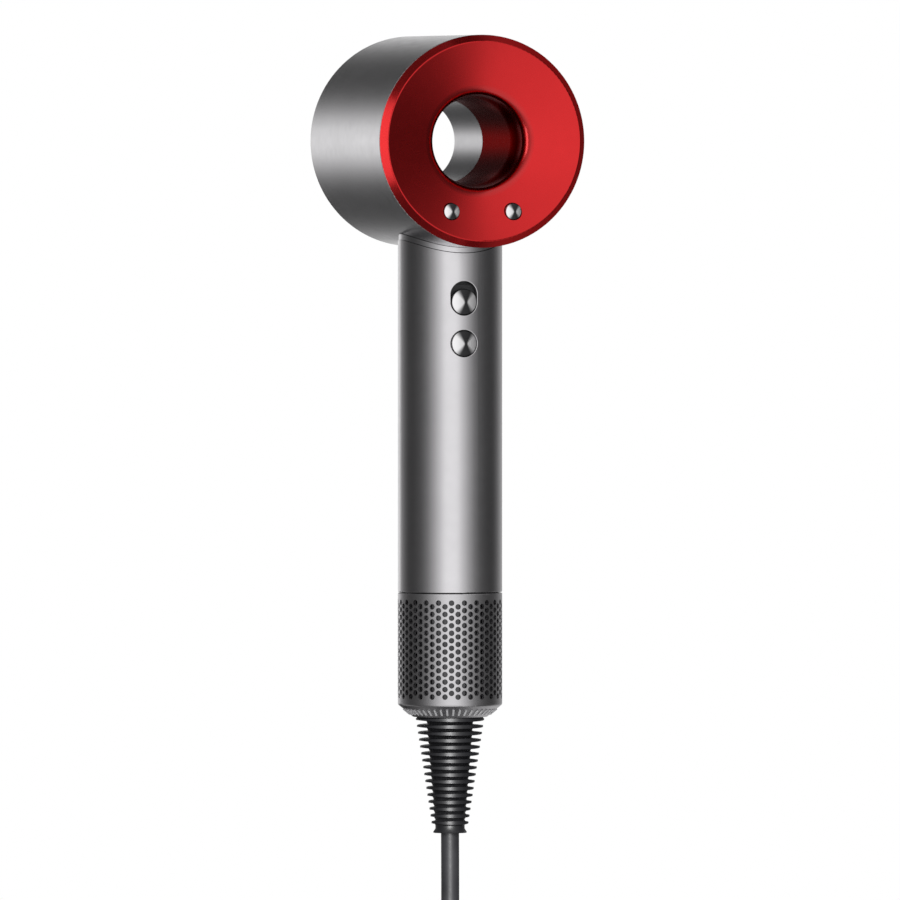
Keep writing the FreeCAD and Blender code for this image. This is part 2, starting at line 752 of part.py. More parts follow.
def board_screws():
    solids = []
    for angle in BOARD_POST_ANGLES:
        x, z = on_head(BOARD_POST_RING_R, angle)
        solids.append(screw_y(x, z, BOARD_Y + BOARD_T, BOARD_Y - 4.0, 1))
    return Part.makeCompound(solids)


def tact_switches():
    solids = []
    half = TACT_SIZE / 2.0
    z = HEAD_Z - FACE_BUTTON_DROP
    for x in (-FACE_BUTTON_X, FACE_BUTTON_X):
        body = block(x - half, x + half, BOARD_Y - TACT_T, BOARD_Y, z - half, z + half)
        plunger = cyl_y(TACT_PLUNGER_R, BOARD_Y - TACT_T - TACT_PLUNGER_T,
                        BOARD_Y - TACT_T, x, z)
        solids.append(body.fuse(plunger).removeSplitter())
    return Part.makeCompound(solids)


FLANGE_FRONT_Y = BOSS_END_Y + SLIP_FIT
FLANGE_BACK_Y = FLANGE_FRONT_Y + FACE_BUTTON_FLANGE_T


def rim_edges(cap, radius, y):
    """The round edge of a cap at that radius and depth."""
    return [edge for edge in cap.Edges
            if not edge.Degenerated
            and all(abs(p.y - y) < NEAR and abs(math.hypot(p.x, p.z) - radius) < NEAR
                    for p in edge.discretize(7))]


def face_button(x):
    """A crowned metal cap with a retaining flange behind the funnel's boss."""
    z = HEAD_Z - FACE_BUTTON_DROP
    ring = math.hypot(FACE_BUTTON_X, FACE_BUTTON_DROP)
    edge = face_y(ring) - FACE_BUTTON_PROUD + FACE_BUTTON_CROWN
    arc = Part.Arc(Vector(0, edge - FACE_BUTTON_CROWN, 0),
                   Vector(FACE_BUTTON_R * 0.5, edge - FACE_BUTTON_CROWN * 0.75, 0),
                   Vector(FACE_BUTTON_R, edge, 0)).toShape()
    corners = [Vector(FACE_BUTTON_R, edge, 0), Vector(FACE_BUTTON_R, FLANGE_FRONT_Y, 0),
               Vector(FACE_BUTTON_FLANGE_R, FLANGE_FRONT_Y, 0),
               Vector(FACE_BUTTON_FLANGE_R, FLANGE_BACK_Y, 0), Vector(0, FLANGE_BACK_Y, 0),
               Vector(0, edge - FACE_BUTTON_CROWN, 0)]
    edges = [arc] + [line(a, b) for a, b in zip(corners, corners[1:])]
    cap = Part.Face(Part.Wire(edges)).revolve(Vector(0, 0, 0), AXIS_Y, 360)
    cap = cap.makeFillet(EDGE_ROUND, rim_edges(cap, FACE_BUTTON_R, edge))
    cap.translate(Vector(x, 0, z))
    return cap


# ---- neck ----
def neck_duct():
    """The air duct from the handle into the barrel, with a saddle flange inside the barrel."""
    length = (REAR_Y, FRONT_Y)
    flange_out = SHELL_IN_R - SLIP_FIT
    tube = cyl_z(NECK_DUCT_R, HEAD_Z - HEAD_R - NECK_DUCT_DROP, HEAD_Z)
    disc = cyl_z(NECK_FLANGE_R, HEAD_Z - HEAD_R, HEAD_Z)
    core = cyl_y(flange_out - NECK_FLANGE_T, *length)
    saddle = disc.common(cyl_y(flange_out, *length))
    bore = cyl_z(NECK_DUCT_R - NECK_DUCT_WALL, HEAD_Z - HEAD_R - NECK_DUCT_DROP - OVERCUT, HEAD_Z)
    return tube.fuse(saddle).removeSplitter().cut(core).cut(bore)


def neck_collar():
    ring = ring_z(HANDLE_R - COLLAR_INSET, NECK_DUCT_R + SLIP_FIT,
                  HEAD_Z - HEAD_R - COLLAR_T - OVERCUT, HEAD_Z)
    band = cyl_y(HEAD_R + NECK_LINE / 2.0 + COLLAR_T, REAR_Y, FRONT_Y)
    return ring.common(band).cut(cyl_y(HEAD_R + NECK_LINE / 2.0, REAR_Y, FRONT_Y))


def outer_edges(shape, radius):
    """The edges of the control openings, on a cylinder of that radius about the handle's axis."""
    found = []
    for edge in shape.Edges:
        points = edge.discretize(9)
        on_wall = all(abs(math.hypot(p.x, p.y) - radius) < NEAR for p in points)
        at_front = max(p.y for p in points) < -radius * 0.9
        in_reach = min(p.z for p in points) > COOL_Z - 2 * COOL_R \
            and max(p.z for p in points) < POWER_Z + SLIDE_TRAVEL + 2 * KNOB_R
        if on_wall and at_front and in_reach:
            found.append(edge)
    return found


# ---- handle tube and its controls ----
def stadium_y(half_width, travel, rear, front, z):
    """A slot with round ends, long in Z, that runs along Y."""
    low = z - travel / 2.0
    top = z + travel / 2.0
    return fuse_all([
        cyl_y(half_width, rear, front, 0.0, low),
        cyl_y(half_width, rear, front, 0.0, top),
        block(-half_width, half_width, rear, front, low, top),
    ])


def handle_tube():
    tube = lathe_z_rounded([
        (TUBE_IN_R, SEAM_Z, 0.0), (HANDLE_R, SEAM_Z, EDGE_ROUND), (HANDLE_R, HEAD_Z, 0.0),
        (TUBE_IN_R, HEAD_Z, 0.0),
    ])
    saddle_r = HEAD_R + COLLAR_T + NECK_LINE * 1.5
    tube = tube.cut(cyl_y(saddle_r, REAR_Y, FRONT_Y))
    slot = stadium_y(KNOB_R + BUTTON_RING_GAP, SLIDE_TRAVEL, -HANDLE_R - OVERCUT, 0.0, POWER_Z)
    hole = cyl_y(COOL_R + BUTTON_RING_GAP, -HANDLE_R - OVERCUT, 0.0, 0.0, COOL_Z)
    tube = tube.cut(slot).cut(hole)
    return tube.makeFillet(EDGE_ROUND, outer_edges(tube, HANDLE_R))


def crowned_cap(radius, edge_y, crown, back_y, z):
    """A round cap along Y whose outer face is a shallow crown."""
    arc = Part.Arc(Vector(0, edge_y - crown, 0),
                   Vector(radius * 0.5, edge_y - crown * 0.75, 0),
                   Vector(radius, edge_y, 0)).toShape()
    corners = [Vector(radius, edge_y, 0), Vector(radius, back_y, 0), Vector(0, back_y, 0),
               Vector(0, edge_y - crown, 0)]
    edges = [arc] + [line(a, b) for a, b in zip(corners, corners[1:])]
    cap = Part.Face(Part.Wire(edges)).revolve(Vector(0, 0, 0), AXIS_Y, 360)
    cap = cap.makeFillet(EDGE_ROUND, rim_edges(cap, radius, edge_y))
    cap.translate(Vector(0, 0, z))
    return cap


CARRIER_BACK_Y = CARRIER_FRONT_Y + CARRIER_T
CARRIER_FLOOR_Y = CARRIER_FRONT_Y + CARRIER_POCKET_T
SWITCH_BACK_Y = CARRIER_BACK_Y + SWITCH_T
KNOB_Z = POWER_Z - SLIDE_TRAVEL / 2.0
KNOB_EDGE_Y = -math.sqrt(HANDLE_R ** 2 - KNOB_R ** 2) - KNOB_PROUD
PLATE_BACK_Y = CARRIER_FRONT_Y - 0.2
PEG_HALF = 1.0
PEG_END_Y = CARRIER_BACK_Y + 1.2


def power_slider():
    cap = crowned_cap(KNOB_R, KNOB_EDGE_Y, KNOB_CROWN, PLATE_BACK_Y, KNOB_Z)
    plate = block(-SLIDER_PLATE_X, SLIDER_PLATE_X, PLATE_BACK_Y - SLIDER_PLATE_T,
                  PLATE_BACK_Y, KNOB_Z - SLIDER_PLATE_UP, KNOB_Z + SLIDER_PLATE_UP)
    peg = block(-PEG_HALF, PEG_HALF, PLATE_BACK_Y, PEG_END_Y, KNOB_Z - PEG_HALF,
                KNOB_Z + PEG_HALF)
    return fuse_all([cap, plate, peg])


COOL_FLANGE_FRONT_Y = -math.sqrt(TUBE_IN_R ** 2 - COOL_FLANGE_R ** 2) + SLIP_FIT
COOL_FLANGE_BACK_Y = COOL_FLANGE_FRONT_Y + COOL_FLANGE_T


def cool_shot_button():
    edge = -math.sqrt(HANDLE_R ** 2 - COOL_R ** 2) - KNOB_PROUD
    cap = crowned_cap(COOL_R, edge, KNOB_CROWN, COOL_FLANGE_FRONT_Y, COOL_Z)
    flange = cyl_y(COOL_FLANGE_R, COOL_FLANGE_FRONT_Y, COOL_FLANGE_BACK_Y, 0.0, COOL_Z)
    stem = cyl_y(COOL_STEM_R, COOL_FLANGE_BACK_Y,
                 CARRIER_BACK_Y - COOL_TRAVEL - SLIP_FIT, 0.0, COOL_Z)
    return fuse_all([cap, flange, stem])


def cool_shot_spring():
    radius = COOL_FLANGE_R - SPRING_WIRE_R * 2 - 0.6
    base = Vector(0, CARRIER_FLOOR_Y, COOL_Z)
    return coil_spring(radius, SPRING_WIRE_R, CARRIER_FLOOR_Y - COOL_FLANGE_BACK_Y, 4, base,
                       Vector(0, -1, 0))


def carrier_screw_places():
    return [(x, CARRIER_SCREW_Z) for x in (-CARRIER_SCREW_X, CARRIER_SCREW_X)]


def switch_carrier():
    slab = block(-HANDLE_R, HANDLE_R, CARRIER_FRONT_Y, CARRIER_BACK_Y, CARRIER_LOW_Z,
                 CARRIER_TOP_Z)
    slab = slab.common(cyl_z(TUBE_IN_R - SLIP_FIT, CARRIER_LOW_Z, CARRIER_TOP_Z))
    posts = [cyl_y(CARRIER_POST_R, CARRIER_BACK_Y - 1.0, SWITCH_BACK_Y, x, z)
             for x, z in carrier_screw_places()]
    pocket = cyl_y(COOL_FLANGE_R + MOVE_GAP, CARRIER_FRONT_Y - OVERCUT, CARRIER_FLOOR_Y,
                   0.0, COOL_Z)
    stem_hole = cyl_y(COOL_STEM_R + SLIP_FIT, CARRIER_FLOOR_Y - 1.0,
                      CARRIER_BACK_Y + OVERCUT, 0.0, COOL_Z)
    reach = PEG_HALF + MOVE_GAP
    peg_slot = block(-reach, reach, CARRIER_FRONT_Y - OVERCUT, CARRIER_BACK_Y + OVERCUT,
                     KNOB_Z - reach, KNOB_Z + SLIDE_TRAVEL + reach)
    pilots = [cyl_y(SCREW_R + RUN_FIT, CARRIER_FRONT_Y + 1.0, SWITCH_BACK_Y + OVERCUT, x, z)
              for x, z in carrier_screw_places()]
    return fuse_all([slab] + posts).cut(
        Part.makeCompound([pocket, stem_hole, peg_slot] + pilots))


def power_switch_block():
    body = block(-4.2, 4.2, CARRIER_BACK_Y, SWITCH_BACK_Y, POWER_Z - 6.0, POWER_Z + 7.0)
    reach = PEG_HALF + MOVE_GAP
    groove = block(-reach, reach, CARRIER_BACK_Y - OVERCUT, PEG_END_Y + MOVE_GAP,
                   KNOB_Z - reach, KNOB_Z + SLIDE_TRAVEL + reach)
    return body.cut(groove)


def cool_shot_switch():
    return block(-3.0, 3.0, CARRIER_BACK_Y, SWITCH_BACK_Y, COOL_Z - 3.2, COOL_Z + 3.2)


def switch_board():
    board = block(-SWITCH_BOARD_X, SWITCH_BOARD_X, SWITCH_BACK_Y,
                  SWITCH_BACK_Y + SWITCH_BOARD_T, CARRIER_LOW_Z + 1.0, CARRIER_TOP_Z)
    holes = [cyl_y(SCREW_R + SLIP_FIT, SWITCH_BACK_Y - OVERCUT,
                   SWITCH_BACK_Y + SWITCH_BOARD_T + OVERCUT, x, z)
             for x, z in carrier_screw_places()]
    return board.cut(Part.makeCompound(holes))


def carrier_screws():
    seat = SWITCH_BACK_Y + SWITCH_BOARD_T
    return Part.makeCompound([screw_y(x, z, seat, CARRIER_FRONT_Y + 1.6, 1)
                              for x, z in carrier_screw_places()])


# ---- foam, mounts and motor ----
WIRE_Y = (SHROUD_R + TUBE_IN_R) / 2.0


def wire_slot(low, top):
    """The slot behind the motor that the three wires pass through."""
    return block(-WIRE_SLOT_X, WIRE_SLOT_X, WIRE_Y - WIRE_R - 0.4, HANDLE_R, low - OVERCUT,
                 top + OVERCUT)


def silencer_foam():
    ring = ring_z(TUBE_IN_R - SLIP_FIT, FOAM_IN_R, FOAM_LOW_Z, FOAM_TOP_Z)
    return ring.cut(wire_slot(FOAM_LOW_Z, FOAM_TOP_Z))


def mount_ring(low):
    top = low + MOUNT_H
    ring = ring_z(TUBE_IN_R - RUN_FIT, SHROUD_R + RUN_FIT, low, top)
    waist = ring_z(TUBE_IN_R + OVERCUT, TUBE_IN_R - 1.0, low + MOUNT_H / 3.0,
                   top - MOUNT_H / 3.0)
    return ring.cut(waist).cut(wire_slot(low, top))


SHROUD_IN_R = SHROUD_R - SHROUD_WALL


def motor_shroud():
    tube = ring_z(SHROUD_R, SHROUD_IN_R, SHROUD_LOW_Z, SHROUD_TOP_Z)
    mouth = lathe_z([(SHROUD_IN_R - OVERCUT, SHROUD_LOW_Z - 1.0),
                     (SHROUD_R - 0.3, SHROUD_LOW_Z - 1.0),
                     (SHROUD_R - 0.3, SHROUD_LOW_Z),
                     (SHROUD_IN_R, SHROUD_LOW_Z + 2.0),
                     (SHROUD_IN_R - OVERCUT, SHROUD_LOW_Z + 2.0)])
    return tube.cut(mouth)


HUB_IN_R = BEARING_R + RUN_FIT
HUB_R = HUB_IN_R + FRAME_HUB_WALL


def bearing_low_z(frame_low, frame_height):
    return frame_low + (frame_height - BEARING_H) / 2.0


def motor_frame(low, height, arms, arm_t):
    """A hub that holds a bearing, on arms that reach the shroud's wall."""
    top = low + height
    hub = cyl_z(HUB_R, low, top)
    band = cyl_z(SHROUD_IN_R - RUN_FIT, low, top)
    arm = block(HUB_R - 1.0, SHROUD_R, -arm_t / 2.0, arm_t / 2.0, low, top).common(band)
    body = fuse_all([hub] + [spin_z(arm, 360.0 * k / arms) for k in range(arms)])
    seat = cyl_z(HUB_IN_R, bearing_low_z(low, height), top + OVERCUT)
    through = cyl_z(SHAFT_R + 0.6, low - OVERCUT, top)
    return body.cut(seat).cut(through)


def diffuser_frame():
    return motor_frame(LOWER_FRAME_Z, LOWER_FRAME_H, DIFFUSER_VANES, DIFFUSER_VANE_T)


def upper_frame():
    """The upper bearing's frame: its arms carry the motor board on three posts."""
    base = motor_frame(UPPER_FRAME_Z, UPPER_FRAME_H, MOTOR_BOARD_POSTS, 2.2)
    reach = (HUB_R + SHROUD_IN_R) / 2.0
    posts = [spin_z(cyl_z(1.0, UPPER_FRAME_Z + 1.0, MOTOR_BOARD_Z, reach),
                    360.0 * k / MOTOR_BOARD_POSTS) for k in range(MOTOR_BOARD_POSTS)]
    rim_low = SHROUD_TOP_Z
    rim = ring_z(SHROUD_R, SHROUD_IN_R - 1.0, rim_low, rim_low + 1.6)
    band = ring_z(SHROUD_R, SHROUD_IN_R - 1.0, rim_low, UPPER_FRAME_Z + UPPER_FRAME_H)
    return fuse_all([base, rim, band] + posts)


def bearings():
    solids = []
    for low, height in ((LOWER_FRAME_Z, LOWER_FRAME_H), (UPPER_FRAME_Z, UPPER_FRAME_H)):
        start = bearing_low_z(low, height)
        solids.append(ring_z(BEARING_R, SHAFT_R + RUN_FIT, start, start + BEARING_H))
    return Part.makeCompound(solids)


def stator_core():
    outer = SHROUD_IN_R - RUN_FIT
    yoke = ring_z(outer, outer - STATOR_YOKE_T, STATOR_LOW_Z, STATOR_TOP_Z)
    inner = MAGNET_ROTOR_R + MAGNET_GAP
    pole = block(0.0, outer - STATOR_YOKE_T / 2.0, -POLE_HALF, POLE_HALF, STATOR_LOW_Z,
                 STATOR_TOP_Z).cut(cyl_z(inner, STATOR_LOW_Z, STATOR_TOP_Z))
    poles = [spin_z(pole, 360.0 * k / STATOR_POLES) for k in range(STATOR_POLES)]
    return fuse_all([yoke] + poles)


def stator_windings():
    inner = MAGNET_ROTOR_R + MAGNET_GAP + 1.4
    outer = SHROUD_IN_R - RUN_FIT - STATOR_YOKE_T - SLIP_FIT
    hole = POLE_HALF + RUN_FIT
    wide = hole + WINDING_T
    winding = block(inner, outer, -wide, wide, STATOR_LOW_Z - RUN_FIT - WINDING_T,
                    STATOR_TOP_Z + RUN_FIT + WINDING_T)
    winding = winding.common(cyl_z(outer, STATOR_LOW_Z - 5.0, STATOR_TOP_Z + 5.0))
    winding = winding.cut(block(inner - 1.0, outer + 1.0, -hole, hole,
                                STATOR_LOW_Z - RUN_FIT, STATOR_TOP_Z + RUN_FIT))
    return Part.makeCompound([spin_z(winding, 360.0 * k / STATOR_POLES)
                              for k in range(STATOR_POLES)])


def motor_board():
    return ring_z(SHROUD_IN_R - 0.4, HUB_R, MOTOR_BOARD_Z, MOTOR_BOARD_Z + MOTOR_BOARD_T)


def rotor_shaft():
    return cyl_z(SHAFT_R, SHAFT_LOW_Z, SHAFT_TOP_Z)


def rotor_magnet():
    return ring_z(MAGNET_ROTOR_R, SHAFT_R + 0.02, STATOR_LOW_Z, STATOR_TOP_Z)


def impeller():
    low = IMPELLER_LOW_Z
    top = low + IMPELLER_H
    hub = lathe_z([(0.0, low), (IMPELLER_HUB_R * 0.55, low),
                   (IMPELLER_HUB_R, low + IMPELLER_H * 0.45), (IMPELLER_HUB_R, top),
                   (0.0, top)])
    tip_r = SHROUD_IN_R - MOVE_GAP
    band = cyl_z(tip_r, low + 0.4, top - 0.4).cut(cyl_z(IMPELLER_HUB_R * 0.8, low, top))
    plate = block(IMPELLER_HUB_R * 0.7, tip_r + 1.0, -BLADE_T / 2.0, BLADE_T / 2.0,
                  low - IMPELLER_H, top + IMPELLER_H)
    plate.rotate(Vector(0, 0, (low + top) / 2.0), Vector(1, 0, 0), BLADE_PITCH)
    blade = plate.common(band)
    blades = [spin_z(blade, 360.0 * k / IMPELLER_BLADES) for k in range(IMPELLER_BLADES)]
    bore = cyl_z(SHAFT_R + 0.02, low - OVERCUT, top + OVERCUT)
    return fuse_all([hub] + blades).cut(bore)


# ---- filter core, mesh and cage ----
CORE_R = TUBE_IN_R - CORE_STEP
FLOOR_LOW_Z = CAGE_END_Z
FLOOR_TOP_Z = FLOOR_LOW_Z + CORE_FLOOR_T
SPIGOT_R = TUBE_IN_R - RUN_FIT


def filter_core():
    """A windowed tube that plugs into the handle and carries the mesh and the cord's anchor."""
    wall = ring_z(CORE_R, CORE_R - CORE_WALL, FLOOR_LOW_Z, SEAM_Z)
    spigot = ring_z(SPIGOT_R, CORE_R - CORE_WALL, SEAM_Z - 0.6, SEAM_Z + CORE_SPIGOT)
    floor = cyl_z(CORE_R, FLOOR_LOW_Z, FLOOR_TOP_Z)
    body = fuse_all([wall, spigot, floor])
    low = FLOOR_TOP_Z + CORE_BAR
    top = SEAM_Z - CORE_BAR
    height = (top - low - CORE_BAR * (CORE_WINDOW_ROWS - 1)) / CORE_WINDOW_ROWS
    width = 2 * math.pi * CORE_R / CORE_WINDOW_COLUMNS - CORE_BAR
    cuts = [cyl_z(BOOT_NECK_R + SLIP_FIT, FLOOR_LOW_Z - OVERCUT, FLOOR_TOP_Z + OVERCUT)]
    for row in range(CORE_WINDOW_ROWS):
        z0 = low + row * (height + CORE_BAR)
        window = block(CORE_R - CORE_WALL - OVERCUT, CORE_R + OVERCUT, -width / 2.0,
                       width / 2.0, z0, z0 + height)
        cuts += [spin_z(window, 360.0 * (k + 0.5) / CORE_WINDOW_COLUMNS)
                 for k in range(CORE_WINDOW_COLUMNS)]
    for x in (-CLAMP_LEG_X, CLAMP_LEG_X):
        cuts.append(cyl_z(CLAMP_SCREW_R + RUN_FIT, FLOOR_TOP_Z - CLAMP_SCREW_DEPTH - 0.2,
                          FLOOR_TOP_Z + OVERCUT, x))
    cuts.append(wire_slot(SEAM_Z, SEAM_Z + CORE_SPIGOT))
    return body.cut(Part.makeCompound(cuts))


MESH_IN_R = CORE_R + MESH_GAP


def filter_mesh():
    return ring_z(MESH_IN_R + MESH_T, MESH_IN_R, FLOOR_LOW_Z + 0.5, SEAM_Z - 0.9)


CAGE_TOP_Z = SEAM_Z - CAGE_SEAM_GAP
CAGE_IN_R = HANDLE_R - CAGE_WALL


def filter_cage():
    """The perforated intake cage. It pulls off downwards along the cord."""
    wall_end = CAGE_END_Z + 0.4
    body = lathe_z_rounded([
        (HANDLE_R, CAGE_TOP_Z, EDGE_ROUND), (HANDLE_R, CAGE_END_Z, 1.0),
        (CAGE_TIP_R, CAGE_TIP_Z, EDGE_ROUND), (CAGE_MOUTH_R, CAGE_TIP_Z, 0.0),
        (CAGE_MOUTH_R, CAGE_TIP_Z + 1.0, 0.0), (CAGE_IN_R, wall_end, 0.0),
        (CAGE_IN_R, CAGE_TOP_Z, 0.0),
    ])
    first = CAGE_TOP_Z - CAGE_TOP_BAND - HOLE_R
    holes = []
    for column in range(HOLE_COLUMNS):
        turn = math.radians(360.0 * column / HOLE_COLUMNS - 90.0)
        out = Vector(math.cos(turn), math.sin(turn), 0)
        stagger = (column % 2) * HOLE_PITCH / 2.0
        for row in range(HOLE_ROWS):
            start = out * (CAGE_IN_R - OVERCUT) + AXIS_Z * (first - stagger - row * HOLE_PITCH)
            holes.append(Part.makeCylinder(HOLE_R, CAGE_WALL + 2 * OVERCUT, start, out))
    body = body.cut(Part.makeCompound(holes))
    down = Vector(CAGE_TIP_R - HANDLE_R, 0, CAGE_TIP_Z - CAGE_END_Z)
    middle = Vector(HANDLE_R, 0, CAGE_END_Z) + down * GRIP_RIB_SHARE
    rib = Part.makeBox(2 * GRIP_RIB_PROUD, GRIP_RIB_W, GRIP_RIB_L,
                       Vector(-GRIP_RIB_PROUD, -GRIP_RIB_W / 2.0, -GRIP_RIB_L / 2.0))
    rib.rotate(Vector(0, 0, 0), Vector(0, 1, 0), math.degrees(math.atan2(-down.x, -down.z)))
    rib.translate(middle)
    ribs = [spin_z(rib, 360.0 * k / GRIP_RIBS) for k in range(GRIP_RIBS)]
    return fuse_all([body] + ribs)


# ---- strain relief and cord anchor ----
FLANGE_TOP_Z = FLOOR_TOP_Z + BOOT_FLANGE_T


def strain_relief():
    """A ribbed rubber boot, held by a flange above the filter core's floor."""
    outline = [
        (CORD_R + RUN_FIT, FLANGE_TOP_Z, 0.0), (BOOT_FLANGE_R, FLANGE_TOP_Z, 0.0),
        (BOOT_FLANGE_R, FLOOR_TOP_Z, 0.0), (BOOT_NECK_R, FLOOR_TOP_Z, 0.0),
        (BOOT_NECK_R, FLOOR_LOW_Z, 0.0), (BOOT_SHOULDER_R, FLOOR_LOW_Z, 0.0),
        (BOOT_SHOULDER_R, BOOT_FIRST_RIB_Z + BOOT_RIB_TIP * 2.0, 0.0),
    ]
    last = BOOT_RIBS - 1
    for k in range(BOOT_RIBS):
        share = k / float(last)
        z = BOOT_FIRST_RIB_Z - k * BOOT_RIB_PITCH
        tip = BOOT_RIB_TOP_R + (BOOT_RIB_END_R - BOOT_RIB_TOP_R) * share
        core = BOOT_CORE_TOP_R + (BOOT_CORE_END_R - BOOT_CORE_TOP_R) * share
        root = BOOT_RIB_TIP + (tip - core) * BOOT_RIB_FLARE
        if k:
            outline.append((core, z + root, BOOT_ROOT_ROUND))
        outline += [(tip, z + BOOT_RIB_TIP, RIB_ROUND), (tip, z - BOOT_RIB_TIP, RIB_ROUND),
                    (core, z - root, BOOT_ROOT_ROUND)]
    outline += [
        (BOOT_CORE_END_R, BOOT_END_Z + BOOT_FLARE_H, 1.0), (BOOT_FLARE_R, BOOT_END_Z, 0.4),
        (CORD_R + RUN_FIT, BOOT_END_Z, 0.0),
    ]
    return lathe_z_rounded(outline)


def lead_in_cord():
    return cyl_z(CORD_R, BOOT_END_Z, LEAD_IN_TOP_Z)


def cord_clamp():
    reach = CLAMP_LEG_X + CLAMP_LEG_HALF
    bar = block(-reach, reach, -CLAMP_HALF_Y, CLAMP_HALF_Y, FLANGE_TOP_Z,
                FLANGE_TOP_Z + CLAMP_T)
    legs = []
    for x in (-CLAMP_LEG_X, CLAMP_LEG_X):
        legs.append(block(x - CLAMP_LEG_HALF, x + CLAMP_LEG_HALF, -CLAMP_HALF_Y, CLAMP_HALF_Y,
                          FLOOR_TOP_Z, FLANGE_TOP_Z))
    body = fuse_all([bar] + legs)
    holes = [cyl_z(CORD_R + RUN_FIT, FLOOR_TOP_Z, FLANGE_TOP_Z + CLAMP_T + OVERCUT)]
    holes += [cyl_z(CLAMP_SCREW_R + SLIP_FIT, FLOOR_TOP_Z - OVERCUT,
                    FLANGE_TOP_Z + CLAMP_T + OVERCUT, x) for x in (-CLAMP_LEG_X, CLAMP_LEG_X)]
    return body.cut(Part.makeCompound(holes))


def clamp_screws():
    seat = FLANGE_TOP_Z + CLAMP_T
    solids = []
    for x in (-CLAMP_LEG_X, CLAMP_LEG_X):
        head = cyl_z(SCREW_HEAD_R, seat, seat + SCREW_HEAD_T, x)
        shank = cyl_z(CLAMP_SCREW_R, FLOOR_TOP_Z - CLAMP_SCREW_DEPTH, seat, x)
        drive = block(x - 0.25, x + 0.25, -1.1, 1.1, seat + SCREW_HEAD_T - 0.5,
                      seat + SCREW_HEAD_T + 1.0)
        solids.append(head.fuse(shank).removeSplitter().cut(drive))
    return Part.makeCompound(solids)


# ---- wires ----
def handle_wires():
    """Three wires from the lead-in past the motor to the switch board."""
    board_back = SWITCH_BACK_Y + SWITCH_BOARD_T
    inside = CORE_R - CORE_WALL - WIRE_R - 1.2
    solids = []
    for x in WIRE_X:
        solids.append(tube_along([
            (x, 0.0, LEAD_IN_TOP_Z),
            (x, 0.0, LEAD_IN_TOP_Z + 5.0),
            (x, inside, LEAD_IN_TOP_Z + 15.0),
            (x, inside - 0.3, SEAM_Z - 1.0),
            (x, WIRE_Y, SHROUD_LOW_Z - 1.5),
            (x, WIRE_Y + 0.05, 0.0),
            (x, WIRE_Y, FOAM_TOP_Z + 3.0),
            (x, 8.0, FOAM_TOP_Z + 14.0),
            (x, board_back + 5.0, CARRIER_SCREW_Z - 5.0),
            (x, board_back, CARRIER_SCREW_Z - 5.0),
        ], WIRE_R))
    return Part.makeCompound(solids)


def head_leads():
    """Two leads from the switch board through the neck to the control board."""
    board_back = SWITCH_BACK_Y + SWITCH_BOARD_T
    solids = []
    for x in HEAD_LEAD_X:
        solids.append(tube_along([
            (x, board_back, CARRIER_TOP_Z - 4.0),
            (x, board_back + 4.0, CARRIER_TOP_Z - 4.0),
            (x, 0.0, CARRIER_TOP_Z + 8.0),
            (x, -4.0, HEAD_Z - SHELL_IN_R + 8.0),
            (x, BOARD_Y + BOARD_T + 8.0, HEAD_Z - BOARD_IN_R - 6.0),
            (x, BOARD_Y + BOARD_T, HEAD_Z - BOARD_IN_R - 6.0),
        ], WIRE_R))
    return Part.makeCompound(solids)


# ---- free cord ----
HANK_OUT_R = HANK_X + CORD_R
HANK_WAIST = HANK_PITCH * 2.0 + 0.3
HANK_MID_Z = HANK_TOP_Z - HANK_RUN / 2.0
HANK_LOW_Z = HANK_TOP_Z - HANK_RUN


def rounded_frame(half_x, half_y, z, corner):
    """A closed wire: a rectangle with round corners, at height z."""
    face = Part.makeBox(2 * half_x, 2 * half_y, 1.0, Vector(-half_x, -half_y, z))
    upright = [e for e in face.Edges
               if abs(e.Vertexes[0].X - e.Vertexes[1].X) < 1e-6
               and abs(e.Vertexes[0].Y - e.Vertexes[1].Y) < 1e-6]
    face = face.makeFillet(corner, upright)
    lowest = min(face.Faces, key=lambda f: f.CenterOfMass.z)
    return lowest.OuterWire


def cord_hank():
    """The outer shape of the folded cord: round folds at both ends, pinched where it is tied."""
    waist_low = HANK_MID_Z - TIE_H / 2.0 - 1.0
    waist_top = HANK_MID_Z + TIE_H / 2.0 + 1.0
    corner = CORD_R
    wide_top = rounded_frame(HANK_OUT_R, HANK_HALF_Y, HANK_TOP_Z, corner)
    waist_a = rounded_frame(HANK_WAIST, HANK_WAIST, waist_top, corner)
    waist_b = rounded_frame(HANK_WAIST, HANK_WAIST, waist_low, corner)
    wide_low = rounded_frame(HANK_OUT_R, HANK_HALF_Y, HANK_LOW_Z, corner)
    middle = Part.makeLoft([wide_top, waist_a, waist_b, wide_low], True, True)
    folds = []
    for z, side in ((HANK_TOP_Z, 1.0), (HANK_LOW_Z, -1.0)):
        roll = cyl_y(HANK_OUT_R, -HANK_HALF_Y, HANK_HALF_Y, 0.0, z)
        half = block(-HANK_X * 2, HANK_X * 2, -HANK_HALF_Y, HANK_HALF_Y,
                     min(z, z + side * HANK_OUT_R), max(z, z + side * HANK_OUT_R))
        folds.append(roll.common(half))
    return fuse_all([middle] + folds)


def cord_tie():
    half = HANK_WAIST + TIE_SLACK
    low = HANK_MID_Z - TIE_H / 2.0
    top = HANK_MID_Z + TIE_H / 2.0
    outer = Part.Face(rounded_frame(half + TIE_T, half + TIE_T, low, CORD_R + TIE_T))
    inner = Part.Face(rounded_frame(half, half, low, CORD_R))
    band = outer.extrude(Vector(0, 0, top - low)).cut(inner.extrude(Vector(0, 0, top - low)))
    tab = block(-4.0, 11.0, -half - 2 * TIE_T, -half - TIE_T, low, top)
    return band.fuse(tab).removeSplitter()


